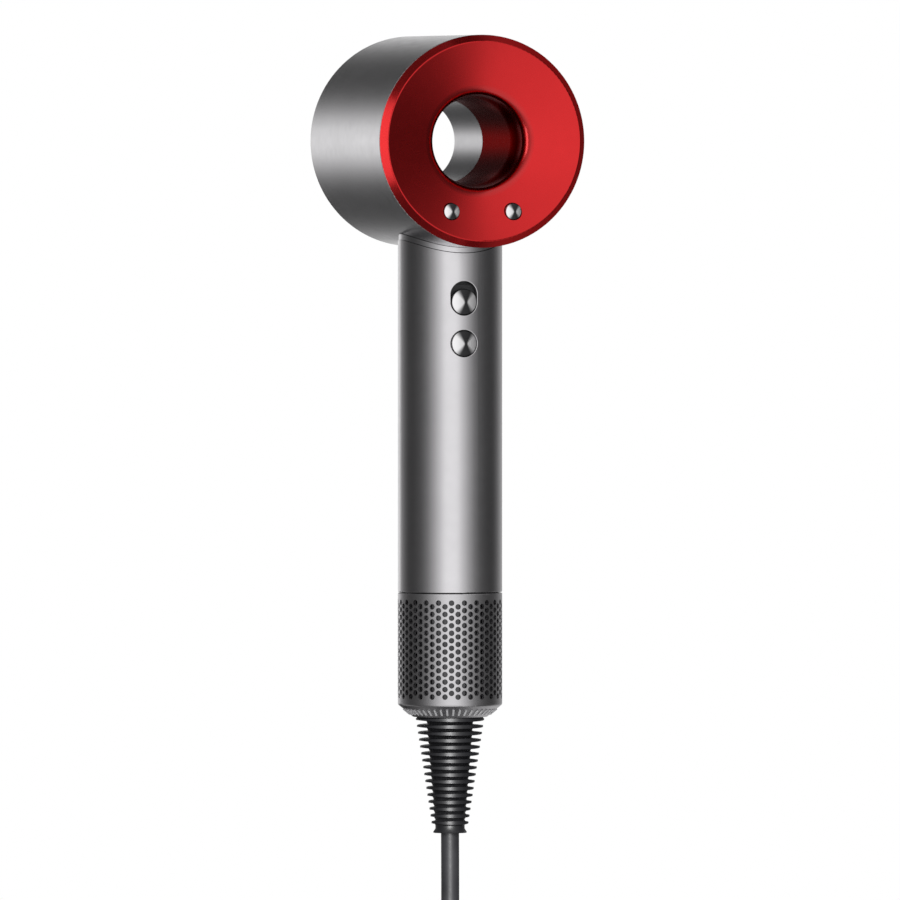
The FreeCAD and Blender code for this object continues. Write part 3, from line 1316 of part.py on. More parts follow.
def cord_drop(hank):
    """The hanging stretch, down to the upper fold that it runs into."""
    print("drop radii", ["%.0f" % r for r in bend_radii(DROP_ROUTE)])
    above = block(-HANK_OUT_R * 2, HANK_OUT_R * 2, -HANK_HALF_Y, HANK_HALF_Y,
                  HANK_TOP_Z + FOLD_LAP, BOOT_END_Z)
    return tube_along(DROP_ROUTE, CORD_R).common(above).cut(hank)


def cord_tail(hank):
    """The short end between the lower fold and the plug."""
    return cyl_z(CORD_R, PLUG_BOOT_TOP_Z, HANK_LOW_Z - FOLD_LAP, HANK_X, LAST_RUN_Y).cut(hank)


PLUG_TOP_Z = PLUG_BOOT_TOP_Z - PLUG_BOOT_H
PLUG_FACE_Z = PLUG_TOP_Z - PLUG_BODY_H


def at_plug(shape):
    shape.translate(Vector(HANK_X, LAST_RUN_Y, 0))
    return shape


def plug_boot():
    outline = [(0.0, PLUG_BOOT_TOP_Z), (PLUG_BOOT_TOP_R, PLUG_BOOT_TOP_Z)]
    rings = 6
    for k in range(rings):
        share = (k + 0.5) / rings
        radius = PLUG_BOOT_TOP_R + (PLUG_BOOT_END_R - PLUG_BOOT_TOP_R) * share
        z = PLUG_BOOT_TOP_Z - PLUG_BOOT_H * share
        outline += [(radius, z + 1.1), (radius - 1.1, z + 0.7), (radius - 1.1, z - 0.7),
                    (radius, z - 1.1)]
    outline += [(PLUG_BOOT_END_R, PLUG_TOP_Z), (0.0, PLUG_TOP_Z)]
    return at_plug(lathe_z(outline))


def plug_body():
    """A moulded two-pin plug body with flats on two sides."""
    body = lathe_z([
        (0.0, PLUG_TOP_Z), (PLUG_NECK_R, PLUG_TOP_Z),
        (PLUG_NECK_R + 0.6, PLUG_TOP_Z - PLUG_BODY_H * 0.25),
        (PLUG_FACE_R - 1.0, PLUG_TOP_Z - PLUG_BODY_H * 0.6),
        (PLUG_FACE_R, PLUG_TOP_Z - PLUG_BODY_H * 0.75),
        (PLUG_FACE_R, PLUG_FACE_Z + 1.0), (PLUG_FACE_R - 1.0, PLUG_FACE_Z), (0.0, PLUG_FACE_Z),
    ])
    body = body.common(block(-PLUG_HALF_X, PLUG_HALF_X, -PLUG_FACE_R, PLUG_FACE_R,
                             PLUG_FACE_Z, PLUG_TOP_Z))
    return at_plug(body)


def plug_pins():
    solids = []
    for y in (-PIN_Y, PIN_Y):
        low = PLUG_FACE_Z - PIN_H
        pin = cyl_z(PIN_R, low + PIN_R, PLUG_FACE_Z, 0.0, y)
        tip = Part.makeSphere(PIN_R, Vector(0, y, low + PIN_R))
        solids.append(pin.fuse(tip).removeSplitter())
    return at_plug(Part.makeCompound(solids))


# ---- build ----
parts["head_shell"] = head_shell()
parts["rear_gasket"] = rear_gasket()
parts["rear_funnel"] = rear_funnel()
parts["inner_sleeve"] = inner_sleeve()
parts["front_ring"] = front_ring()
parts["outlet_grille"] = outlet_grille()
parts["air_guide"] = air_guide()
parts["attachment_magnets"] = attachment_magnets()
parts["heat_shield"] = heat_shield()
parts["heater_frame"] = heater_frame()
parts["heater_coils"] = heater_coils()
parts["thermistor"] = thermistor()
parts["thermal_fuse"] = thermal_fuse()
parts["ion_emitter"] = ion_emitter()
parts["control_board"] = control_board()
parts["board_components"] = board_components()
parts["board_screws"] = board_screws()
parts["tact_switches"] = tact_switches()
parts["speed_button"] = face_button(FACE_BUTTON_X)
parts["heat_button"] = face_button(-FACE_BUTTON_X)
parts["neck_duct"] = neck_duct()
parts["neck_collar"] = neck_collar()
parts["handle_tube"] = handle_tube()
parts["power_slider"] = power_slider()
parts["cool_shot_button"] = cool_shot_button()
parts["cool_shot_spring"] = cool_shot_spring()
parts["switch_carrier"] = switch_carrier()
parts["power_switch_block"] = power_switch_block()
parts["cool_shot_switch"] = cool_shot_switch()
parts["switch_board"] = switch_board()
parts["carrier_screws"] = carrier_screws()
parts["silencer_foam"] = silencer_foam()
parts["upper_mount_ring"] = mount_ring(UPPER_MOUNT_Z)
parts["lower_mount_ring"] = mount_ring(LOWER_MOUNT_Z)
parts["motor_shroud"] = motor_shroud()
parts["diffuser_frame"] = diffuser_frame()
parts["upper_frame"] = upper_frame()
parts["bearings"] = bearings()
parts["stator_core"] = stator_core()
parts["stator_windings"] = stator_windings()
parts["motor_board"] = motor_board()
parts["rotor_shaft"] = rotor_shaft()
parts["rotor_magnet"] = rotor_magnet()
parts["impeller"] = impeller()
parts["filter_core"] = filter_core()
parts["filter_mesh"] = filter_mesh()
parts["filter_cage"] = filter_cage()
parts["strain_relief"] = strain_relief()
parts["lead_in_cord"] = lead_in_cord()
parts["cord_clamp"] = cord_clamp()
parts["clamp_screws"] = clamp_screws()
parts["handle_wires"] = handle_wires()
parts["head_leads"] = head_leads()
parts["cord_hank"] = cord_hank()
parts["cord_tie"] = cord_tie()
parts["cord_drop"] = cord_drop(parts["cord_hank"])
parts["cord_tail"] = cord_tail(parts["cord_hank"])
parts["plug_boot"] = plug_boot()
parts["plug_body"] = plug_body()
parts["plug_pins"] = plug_pins()

os.makedirs("parts", exist_ok=True)
for name, shape in parts.items():
    shape.exportStep("parts/%s.step" % name)
    sound = shape.isValid() and all(solid.isClosed() for solid in shape.Solids)
    print("%-20s solids %2d  valid %s  %9.1f mm3" % (name, len(shape.Solids), sound, shape.Volume))
print(len(parts), "nodes")
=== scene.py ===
import json
import math

import bmesh
import bpy
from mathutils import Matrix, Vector


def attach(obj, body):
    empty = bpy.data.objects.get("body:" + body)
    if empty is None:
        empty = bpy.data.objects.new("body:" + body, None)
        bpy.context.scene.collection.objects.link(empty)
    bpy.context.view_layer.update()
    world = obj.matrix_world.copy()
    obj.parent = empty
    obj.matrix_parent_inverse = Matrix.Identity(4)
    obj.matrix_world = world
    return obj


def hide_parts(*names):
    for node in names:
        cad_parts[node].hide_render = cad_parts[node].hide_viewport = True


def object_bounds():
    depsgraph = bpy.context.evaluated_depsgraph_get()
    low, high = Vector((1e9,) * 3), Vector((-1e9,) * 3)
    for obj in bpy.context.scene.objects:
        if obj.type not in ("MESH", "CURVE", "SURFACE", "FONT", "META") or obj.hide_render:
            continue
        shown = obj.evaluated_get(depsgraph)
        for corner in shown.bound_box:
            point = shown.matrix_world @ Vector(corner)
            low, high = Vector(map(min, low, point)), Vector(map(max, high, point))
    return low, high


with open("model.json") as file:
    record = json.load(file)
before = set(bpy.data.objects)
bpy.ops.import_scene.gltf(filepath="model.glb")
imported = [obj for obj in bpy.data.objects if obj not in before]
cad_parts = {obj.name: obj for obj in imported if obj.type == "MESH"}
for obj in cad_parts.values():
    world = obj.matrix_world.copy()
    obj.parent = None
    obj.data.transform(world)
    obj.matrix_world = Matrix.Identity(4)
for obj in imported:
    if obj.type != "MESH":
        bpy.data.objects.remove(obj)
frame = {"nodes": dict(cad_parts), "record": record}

cad_bounds = [list(corner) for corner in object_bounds()]
nodes = frame["nodes"]

# ---- sizes, metres ----
MM = 0.001
HEAD_Z = 0.122          # height of the barrel's axis
CORD_R = 3.3 * MM
BOOT_END_Z = -129.8 * MM
HANK_X = 22.0 * MM
HANK_TOP_Z = -227.0 * MM
HANK_RUN = 110.0 * MM
HANK_PITCH = 6.9 * MM
HANK_TURNS = 7
FOLD_STEPS = 6
FOLD_SPREAD = 1.035     # control points stand outside the round fold that they draw
WAIST_HALF_H = 9.0 * MM
WAIST_STEP = 6.9 * MM
PLUG_TOP_Z = -384.5 * MM
PLUG_BODY_H = 38.0 * MM
PLUG_BOOT_TOP_Z = -357.5 * MM
FLOOR_DROP = 0.10       # from the plug's pins down to the floor
FLOOR_R = 1.6

# ---- strain relief, millimetres ----
BOOT_RIBS = 16
BOOT_FIRST_RIB_Z = -88.4
BOOT_RIB_PITCH = 2.51
BOOT_RIB_RADII = (12.45, 6.75)      # tip of the first and of the last rib
BOOT_CORE_RADII = (8.5, 5.35)
BOOT_TIP_HALF = 0.27
BOOT_LENS_HALF = 0.72               # the ribs are thicker at the front and the back
BOOT_LENS_POWER = 1.3
BOOT_FLANGE_R = 9.4                 # flange, groove and head sit inside the cage's end
BOOT_FLANGE_TOP_Z = -79.4
BOOT_GROOVE_R = 6.8
BOOT_GROOVE_TOP_Z = -81.2
BOOT_HEAD_R = 11.9
BOOT_HEAD_TOP_Z = -83.0
BOOT_HEAD_LIP = 0.75                # the head ends this far above the first rib
BOOT_FILLET_OUT = 0.25              # rib's root, outward from the core
BOOT_FILLET_UP = 1.05               # and along it
BOOT_ROOT_HALF = 0.2
BOOT_TIP_ROUND = 0.15
BOOT_END_RADII = (6.15, 6.0)        # flared end
BOOT_SHARP_ANGLE = math.radians(40.0)

DROP_ROUTE = [
    (0.0, 0.0, BOOT_END_Z),
    (0.0002, 0.0003, -0.148),
    (0.0, 0.0, -0.166),
    (0.011, -0.019, -0.193),
    (0.022, -0.0255, -0.215),
]

# ---- camera ----
CAMERA_DISTANCE = 6.0
CAMERA_TURN = math.radians(-16.1)
CAMERA_AIM_Z = 9.6 * MM
CAMERA_LENS = 659.3
SENSOR_WIDTH = 36.0
toward_camera = Vector((math.sin(CAMERA_TURN), -math.cos(CAMERA_TURN), 0.0))
GLOW_TURN = math.radians(-13.4)     # the bright front of the room stands a little beside the camera
toward_glow = Vector((math.sin(GLOW_TURN), -math.cos(GLOW_TURN), 0.0))


# ---- node helpers ----
class Shader:
    """Builds one procedural material node by node."""

    def __init__(self, name):
        self.material = bpy.data.materials.new(name)
        self.material.use_nodes = True
        self.tree = self.material.node_tree
        self.bsdf = self.tree.nodes["Principled BSDF"]
        self.coords = self.tree.nodes.new("ShaderNodeTexCoord").outputs["Object"]

    def link(self, a, b):
        self.tree.links.new(a, b)

    def node(self, kind, **inputs):
        made = self.tree.nodes.new(kind)
        for key, value in inputs.items():
            made.inputs[key.replace("_", " ")].default_value = value
        return made

    def noise(self, scale, detail=3.0, vector=None):
        made = self.node("ShaderNodeTexNoise", Scale=scale, Detail=detail)
        self.link(vector or self.coords, made.inputs["Vector"])
        return made.outputs["Fac"]

    def stretched(self, x, y, z):
        made = self.node("ShaderNodeMapping")
        made.inputs["Scale"].default_value = (x, y, z)
        self.link(self.coords, made.inputs["Vector"])
        return made.outputs["Vector"]

    def math(self, operation, a, b=None, clamp=False):
        made = self.tree.nodes.new("ShaderNodeMath")
        made.operation = operation
        made.use_clamp = clamp
        for socket, value in zip(made.inputs, (a, b)):
            if value is None:
                continue
            if isinstance(value, (int, float)):
                socket.default_value = value
            else:
                self.link(value, socket)
        return made.outputs[0]

    def spread(self, value, low, high, start=0.3, end=0.7):
        made = self.node("ShaderNodeMapRange")
        self.link(value, made.inputs["Value"])
        made.inputs["From Min"].default_value = start
        made.inputs["From Max"].default_value = end
        made.inputs["To Min"].default_value = low
        made.inputs["To Max"].default_value = high
        return made.outputs["Result"]

    def mix(self, factor, a, b):
        made = self.tree.nodes.new("ShaderNodeMix")
        made.data_type = "RGBA"
        self.link(factor, made.inputs["Factor"])
        for key, value in (("A", a), ("B", b)):
            socket = [s for s in made.inputs if s.name == key and s.type == "RGBA"][0]
            if isinstance(value, tuple):
                socket.default_value = (*value, 1.0)
            else:
                self.link(value, socket)
        return [s for s in made.outputs if s.type == "RGBA"][0]

    def bump(self, height, strength, distance):
        made = self.node("ShaderNodeBump", Strength=strength, Distance=distance)
        self.link(height, made.inputs["Height"])
        if self.bsdf.inputs["Normal"].is_linked:
            self.link(self.bsdf.inputs["Normal"].links[0].from_socket, made.inputs["Normal"])
        self.link(made.outputs["Normal"], self.bsdf.inputs["Normal"])

    def set(self, **inputs):
        for key, value in inputs.items():
            self.bsdf.inputs[key.replace("_", " ")].default_value = value

    def drive(self, key, socket):
        self.link(socket, self.bsdf.inputs[key])


def tint(colour, factor):
    return tuple(min(1.0, c * factor) for c in colour)


def basic(name, colour, metallic=0.0, rough=0.4, wander=0.05, shade=0.06, grain=2500.0,
          grain_depth=0.01, mottle=60.0, **extra):
    """A surface whose colour, gloss and grain all vary a little from place to place."""
    shader = Shader(name)
    shader.set(Metallic=metallic, **extra)
    broad = shader.noise(mottle, 4.0)
    shader.drive("Base Color", shader.mix(shader.spread(broad, 0.0, 1.0),
                                          tint(colour, 1.0 - shade), tint(colour, 1.0 + shade)))
    fine = shader.noise(mottle * 7.0, 5.0)
    shader.drive("Roughness", shader.spread(fine, rough - wander, rough + wander))
    shader.bump(shader.noise(grain, 2.0), 0.35, grain_depth * MM)
    return shader


NICKEL = (0.60, 0.588, 0.605)
RED = (0.58, 0.022, 0.024)
# painted shade: the darker red painted on the bore's wall
BORE_SHADE_RED = (0.15, 0.010, 0.009)
# painted light: a lighter copy of NICKEL for the barrel, standing in for brighter light on it
BARREL_LIT_NICKEL = (0.67, 0.657, 0.675)
# painted shade: a slightly darker copy of NICKEL for the cage, standing in for less light on it
CAGE_SHADED_NICKEL = (0.57, 0.56, 0.575)
# painted highlight: the pale colour painted on the crowns of the cage's grip ribs
RIB_CROWN_HIGHLIGHT = (0.62, 0.62, 0.63)
# painted shade: black painted on the slider's plate where it shows in the slot
SLOT_SHADE_BLACK = (0.02, 0.02, 0.022)
# painted reflection: colours, centre and edges of the bright and dark fans painted onto the spun metal
FAN_PAINTED_SHADE = (0.035, 0.035, 0.037)
FAN_PAINTED_GLINT = (0.80, 0.79, 0.80)
FAN_CENTRE = (0.55, 0.5, 0.49)      # in shares of the piece's box
FAN_SOFTENING = 0.004               # keeps the fans' middle from a hard point
FAN_EDGES = (0.12, 0.72)
BORE_SHADE_RADII = (16.2 * MM, 17.2 * MM)     # the bore's painted shade, a darker red, gives way to the face's red
GLAZE_RADII = (18.5 * MM, 20.5 * MM)    # the roll into the bore is glossier than the face
GLAZE = (0.6, 0.1)
CONE_EDGE = (19.0 * MM, 83.0 * MM)      # radius and depth where the cage's cone begins
CONE_NORMAL = (0.633, -0.774)
# heights over the cone across which the painted rib highlight fades in
CROWN_HIGHLIGHT_HEIGHTS = (0.10 * MM, 0.2 * MM)
# deeper than this the slider is painted black as painted shade in its slot
SLIDER_KNOB_BACK_Y = -17.4 * MM


def satin_nickel(name="satin_nickel", colour=NICKEL, rough=0.24):
    return basic(name, colour, 1.0, rough, 0.02, 0.03, 3200.0, 0.004, 45.0)


def square_root_of_squares(shader, a, b):
    return shader.math("SQRT", shader.math("ADD", shader.math("MULTIPLY", a, a),
                                           shader.math("MULTIPLY", b, b)))


def split(shader, vector):
    made = shader.tree.nodes.new("ShaderNodeSeparateXYZ")
    shader.link(vector, made.inputs[0])
    return made.outputs[0], made.outputs[1], made.outputs[2]


def red_satin():
    """Red lacquer; the wall of the bore is painted a darker red than the face as painted shade, and is
    duller, without the face's coat.
    """
    shader = satin_nickel("red_satin", RED, 0.27)
    x, y, z = split(shader, shader.coords)
    radius = square_root_of_squares(shader, x, shader.math("SUBTRACT", z, HEAD_Z))
    # painted shade: inside these radii the bore's wall is painted the darker red
    bore_shade = shader.spread(radius, 1.0, 0.0, *BORE_SHADE_RADII)
    face = shader.bsdf.inputs["Base Color"].links[0].from_socket
    shader.drive("Base Color", shader.mix(bore_shade, face, BORE_SHADE_RED))
    shader.drive("Coat Weight", shader.math("MULTIPLY", shader.spread(bore_shade, 1.0, 0.0, 0.0, 1.0),
                                            shader.spread(radius, *GLAZE, *GLAZE_RADII)))
    shader.set(Coat_Roughness=0.12, Specular_Tint=(0.6, 0.35, 0.35, 1.0))
    return shader


def ribbed_nickel():
    """The cage's metal, a slightly darker copy of the nickel as painted shade, with the crowns of the
    grip ribs that stand out of its cone painted pale and less metallic as a painted highlight.
    """
    shader = satin_nickel("cage_shaded_nickel", CAGE_SHADED_NICKEL, 0.32)
    x, y, z = split(shader, shader.coords)
    radius = square_root_of_squares(shader, x, y)
    across = shader.math("MULTIPLY", shader.math("SUBTRACT", radius, CONE_EDGE[0]), CONE_NORMAL[0])
    along = shader.math("MULTIPLY", shader.math("ADD", z, CONE_EDGE[1]), CONE_NORMAL[1])
    # painted highlight: the rib crowns standing out of the cone are painted pale and less metallic
    crown_highlight = shader.spread(shader.math("ADD", across, along), 0.0, 1.0, *CROWN_HIGHLIGHT_HEIGHTS)
    metal = shader.bsdf.inputs["Base Color"].links[0].from_socket
    shader.drive("Base Color", shader.mix(crown_highlight, metal, RIB_CROWN_HIGHLIGHT))
    shader.drive("Metallic", shader.spread(crown_highlight, 1.0, 0.2, 0.0, 1.0))
    return shader


def dark_mesh():
    """Fine woven mesh behind the cage's holes."""
    shader = basic("dark_mesh", (0.09, 0.09, 0.093), 1.0, 0.28, 0.05, 0.2)
    for x, y, z in ((1.0, 1.0, 0.15), (0.15, 0.15, 1.0)):
        wave = shader.node("ShaderNodeTexWave", Scale=700.0)
        shader.link(shader.stretched(x, y, z), wave.inputs["Vector"])
        shader.bump(wave.outputs["Fac"], 0.4, 0.08 * MM)
    return shader


def spun_metal(name, shade_from=None):
    """Metal spun about its own axis, with a painted reflection: a pair of bright and a pair of dark
    fans painted into its colour by the angle about its axis.

    Deeper than the depth it is given, it is painted black and not metal: painted shade where its plate
    shows in the slot.
    """
    shader = Shader(name)
    generated = shader.tree.nodes.new("ShaderNodeTexCoord").outputs["Generated"]
    centred = shader.node("ShaderNodeVectorMath")
    centred.operation = "SUBTRACT"
    centred.inputs[1].default_value = FAN_CENTRE
    shader.link(generated, centred.inputs[0])
    x, y, z = split(shader, centred.outputs[0])
    radius = square_root_of_squares(shader, x, z)
    rings = shader.node("ShaderNodeCombineXYZ")
    shader.link(radius, rings.inputs[0])
    grooves = shader.noise(90.0, 6.0, rings.outputs[0])
    # painted reflection: the fans follow the angle about the piece's axis, bright to the sides and
    # dark above and below
    level = shader.math("DIVIDE", shader.math("MULTIPLY", x, x),
                        shader.math("ADD", shader.math("MULTIPLY", radius, radius), FAN_SOFTENING))
    painted_fan = shader.node("ShaderNodeMapRange")
    painted_fan.interpolation_type = "SMOOTHSTEP"
    shader.link(level, painted_fan.inputs["Value"])
    painted_fan.inputs["From Min"].default_value = FAN_EDGES[0]
    painted_fan.inputs["From Max"].default_value = FAN_EDGES[1]
    painted_fans = shader.math("ADD", painted_fan.outputs["Result"],
                       shader.spread(grooves, -0.06, 0.06), True)
    metal = shader.mix(painted_fans, FAN_PAINTED_SHADE, FAN_PAINTED_GLINT)
    shader.set(Anisotropic=0.5)
    shader.bump(grooves, 0.25, 0.01 * MM)
    tangent = shader.tree.nodes.new("ShaderNodeTangent")
    tangent.direction_type = "RADIAL"
    tangent.axis = "Y"
    shader.link(tangent.outputs[0], shader.bsdf.inputs["Tangent"])
    rough = shader.spread(grooves, 0.24, 0.34)
    if shade_from is None:
        shader.set(Metallic=1.0)
        shader.drive("Base Color", metal)
        shader.drive("Roughness", rough)
        return shader
    # painted shade: past the given depth the slider is painted black
    slot_shade = shader.spread(split(shader, shader.coords)[1], 0.0, 1.0, shade_from - 0.2 * MM, shade_from)
    shader.drive("Base Color", shader.mix(slot_shade, metal, SLOT_SHADE_BLACK))
    shader.drive("Metallic", shader.spread(slot_shade, 1.0, 0.0, 0.0, 1.0))
    shader.drive("Roughness", shader.spread(slot_shade, 0.28, 0.5, 0.0, 1.0))
    return shader


def plain_set():
    """The finishes of the fixed inner pieces and the small parts."""
    return {
        "black_rubber": basic("black_rubber", (0.007, 0.007, 0.008), 0.0, 0.38, 0.05, 0.2, 1800.0,
                              0.02, 120.0, Specular_IOR_Level=0.36).material,
        "cord_sheath": basic("cord_sheath", (0.018, 0.018, 0.020), 0.0, 0.46, 0.05, 0.2, 1500.0,
                             0.015, 90.0, Specular_IOR_Level=0.3).material,
        "pin_plating": basic("pin_plating", (0.78, 0.75, 0.70), 1.0, 0.22, 0.06, 0.05, 900.0,
                             0.005, 200.0).material,
        "dark_plastic": basic("dark_plastic", (0.03, 0.03, 0.032), 0.0, 0.48, 0.06, 0.15, 1400.0,
                              0.03, 80.0).material,
        "machined_alloy": basic("machined_alloy", (0.70, 0.70, 0.71), 1.0, 0.3, 0.08, 0.06).material,
        "steel": basic("steel", (0.60, 0.60, 0.61), 1.0, 0.3, 0.08, 0.06).material,
        "magnet": basic("magnet", (0.55, 0.55, 0.56), 1.0, 0.25, 0.08, 0.06).material,
        "heater_wire": basic("heater_wire", (0.36, 0.32, 0.29), 1.0, 0.42, 0.1, 0.2).material,
        "mica_board": basic("mica_board", (0.58, 0.50, 0.35), 0.0, 0.5, 0.1, 0.15).material,
        "circuit_board": basic("circuit_board", (0.02, 0.14, 0.06), 0.0, 0.35, 0.06, 0.15).material,
        "copper_winding": basic("copper_winding", (0.72, 0.33, 0.16), 1.0, 0.35, 0.08, 0.1).material,
        "foam": basic("foam", (0.05, 0.05, 0.055), 0.0, 0.9, 0.05, 0.3, 900.0, 0.3).material,
        "wire_insulation": basic("wire_insulation", (0.06, 0.06, 0.07), 0.0, 0.4, 0.06, 0.2).material,
    }


def tie_material():
    """A hook-and-loop strap: a close woven texture."""
    shader = basic("tie_strap", (0.03, 0.03, 0.032), 0.0, 0.75, 0.08, 0.25, 2200.0, 0.08, 300.0)
    for axis in ((1.0, 0.0, 0.0), (0.0, 0.0, 1.0)):
        wave = shader.node("ShaderNodeTexWave", Scale=900.0)
        shader.link(shader.stretched(*(0.2 + 0.8 * a for a in axis)), wave.inputs["Vector"])
        shader.bump(wave.outputs["Fac"], 0.3, 0.1 * MM)
    return shader.material


finish = plain_set()
finish["satin_nickel"] = satin_nickel().material
finish["red_satin"] = red_satin().material
finish["spun_metal"] = spun_metal("spun_metal").material
finish["tie_strap"] = tie_material()


def paint(obj, material):
    obj.data.materials.clear()
    obj.data.materials.append(material)


for part in frame["record"]["subparts"]:
    paint(nodes[part["node"]], finish[part["material_slot"]])
# the slider's plate in the slot is painted black as painted shade
paint(nodes["power_slider"], spun_metal("slider_metal", SLIDER_KNOB_BACK_Y).material)
# painted light: the barrel gets a lighter copy of the nickel, so it reads brighter than the same paint
# on the handle
paint(nodes["head_shell"], satin_nickel("barrel_lit_nickel", BARREL_LIT_NICKEL, 0.2).material)
# painted shade and painted highlight: the cage gets a darker copy of the nickel, with its rib crowns
# painted pale
paint(nodes["filter_cage"], ribbed_nickel().material)
paint(nodes["filter_mesh"], dark_mesh().material)


# ---- mesh helpers ----
def new_mesh(name, vertices, faces, material, smooth=True):
    mesh = bpy.data.meshes.new(name)
    mesh.from_pydata([tuple(v) for v in vertices], [], faces)
    mesh.update()
    obj = bpy.data.objects.new(name, mesh)
    bpy.context.scene.collection.objects.link(obj)
    if smooth:
        for polygon in mesh.polygons:
            polygon.use_smooth = True
    paint(obj, material)
    return obj


def apply_modifiers(obj):
    graph = bpy.context.evaluated_depsgraph_get()
    mesh = bpy.data.meshes.new_from_object(obj.evaluated_get(graph))
    obj.modifiers.clear()
    obj.data = mesh
    return obj


def loft(name, rings, material, levels=1):
    """A closed skin through rings of points, capped at both ends."""
    count = len(rings[0])
    vertices = [point for ring in rings for point in ring]
    faces = []
    for i in range(len(rings) - 1):
        for j in range(count):
            k = (j + 1) % count
            faces.append((i * count + j, i * count + k, (i + 1) * count + k, (i + 1) * count + j))
    faces.append(tuple(reversed(range(count))))
    faces.append(tuple(range((len(rings) - 1) * count, len(rings) * count)))
    obj = new_mesh(name, vertices, faces, material)
    if levels:
        smooth = obj.modifiers.new("smooth", "SUBSURF")
        smooth.levels = levels
        smooth.render_levels = levels
        apply_modifiers(obj)
    sheet = bmesh.new()
    sheet.from_mesh(obj.data)
    bmesh.ops.recalc_face_normals(sheet, faces=sheet.faces)
    sheet.to_mesh(obj.data)
    sheet.free()
    paint(obj, material)
    return obj


def super_ring(centre, half_x, half_y, power, steps=48):
    """Points of a rounded rectangle; power 2 is an ellipse, more is squarer."""
    points = []
    for j in range(steps):
        turn = 2.0 * math.pi * j / steps
        c, s = math.cos(turn), math.sin(turn)
        points.append(centre + Vector((
            half_x * math.copysign(abs(c) ** (2.0 / power), c),
            half_y * math.copysign(abs(s) ** (2.0 / power), s), 0.0)))
    return points


# ---- cord: hanging drop, tied hank, plug ----
def ease(share):
    return (1.0 - math.cos(math.pi * min(1.0, max(0.0, share)))) / 2.0


def run_point(side, index, along):
    """A point of run number index on one side of the hank; along goes from 0 to 1, top to bottom."""
    middle = HANK_TOP_Z - HANK_RUN / 2.0
    z = HANK_TOP_Z - HANK_RUN * along
    reach = HANK_RUN / 2.0 - WAIST_HALF_H
    share = ease((HANK_RUN / 2.0 - abs(z - middle)) / reach)
    pair = index // 2
    first_y = -HANK_PITCH * HANK_TURNS / 2.0 + (0.0 if side > 0 else HANK_PITCH / 2.0)
    outer_y = first_y + 2 * HANK_PITCH * pair
    waist_y = WAIST_STEP * (pair - 1.5)
    x = HANK_X + (1.5 * WAIST_STEP - HANK_X) * share
    y = outer_y + (waist_y - outer_y) * share
    if index % 2:
        x -= WAIST_STEP * math.sin(share * math.pi / 2.0)
        y += HANK_PITCH * math.cos(share * math.pi / 2.0)
    return Vector((side * x, y, z))


RUN_SHARES = (0.06, 0.17, 0.29, 0.41, 0.5, 0.59, 0.71, 0.83, 0.94)


def fold_points(start, end, centre_z, side):
    """The half turn from one run to the next, above (side 1) or below (side -1) the runs."""
    points = []
    for k in range(FOLD_STEPS + 1):
        turn = math.pi * k / FOLD_STEPS
        share = k / FOLD_STEPS
        spread = 1.0 + (FOLD_SPREAD - 1.0) * math.sin(turn)
        points.append(Vector((start.x * spread * math.cos(turn),
                              start.y + (end.y - start.y) * share,
                              centre_z + side * HANK_X * FOLD_SPREAD * math.sin(turn))))
    return points


def cord_points():
    low_z = HANK_TOP_Z - HANK_RUN
    points = [Vector(p) for p in DROP_ROUTE]
    for turn in range(HANK_TURNS + 1):
        points += [run_point(1, turn, share) for share in RUN_SHARES]
        if turn == HANK_TURNS:
            break
        points += fold_points(run_point(1, turn, 1.0), run_point(-1, turn, 1.0), low_z, -1)
        points += [run_point(-1, turn, 1.0 - share) for share in RUN_SHARES]
        points += fold_points(run_point(-1, turn, 0.0), run_point(1, turn + 1, 0.0), HANK_TOP_Z, 1)
    end = run_point(1, HANK_TURNS, 1.0)
    points.append(end)
    points.append(Vector((end.x, end.y, PLUG_BOOT_TOP_Z)))
    return points


def make_cord():
    curve = bpy.data.curves.new("mains_cord", "CURVE")
    curve.dimensions = "3D"
    curve.bevel_depth = CORD_R
    curve.bevel_resolution = 8
    curve.use_fill_caps = True
    spline = curve.splines.new("NURBS")
    points = cord_points()
    spline.points.add(len(points) - 1)
    for slot_point, point in zip(spline.points, points):
        slot_point.co = (*point, 1.0)
    spline.order_u = 3
    spline.use_endpoint_u = True
    spline.resolution_u = 6
    cord = bpy.data.objects.new("mains_cord", curve)
    bpy.context.scene.collection.objects.link(cord)
    cord.data.materials.append(finish["cord_sheath"])
    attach(cord, "root")
    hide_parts("cord_drop", "cord_hank", "cord_tail")
    return cord


def make_plug():
    """The moulded two-pin plug: a waisted grip that widens to the face."""
    axis = run_point(1, HANK_TURNS, 1.0)
    shape = (
        (0.00, 7.6, 7.8, 2.0), (0.015, 8.6, 8.8, 2.1), (0.10, 9.2, 9.6, 2.3), (0.28, 9.4, 10.2, 2.6),
        (0.45, 10.2, 12.2, 3.0), (0.60, 11.8, 15.6, 3.4), (0.72, 12.7, 17.2, 3.8),
        (0.90, 12.9, 17.5, 4.0), (0.965, 12.8, 17.4, 4.0), (0.99, 12.3, 16.9, 4.0),
        (1.00, 11.4, 16.0, 4.0),
    )
    rings = [super_ring(Vector((axis.x, axis.y, PLUG_TOP_Z - PLUG_BODY_H * share)),
                        half_x * MM, half_y * MM, power) for share, half_x, half_y, power in shape]
    body = loft("plug_shell", rings, finish["cord_sheath"])
    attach(body, "root")
    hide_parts("plug_body")
    return body


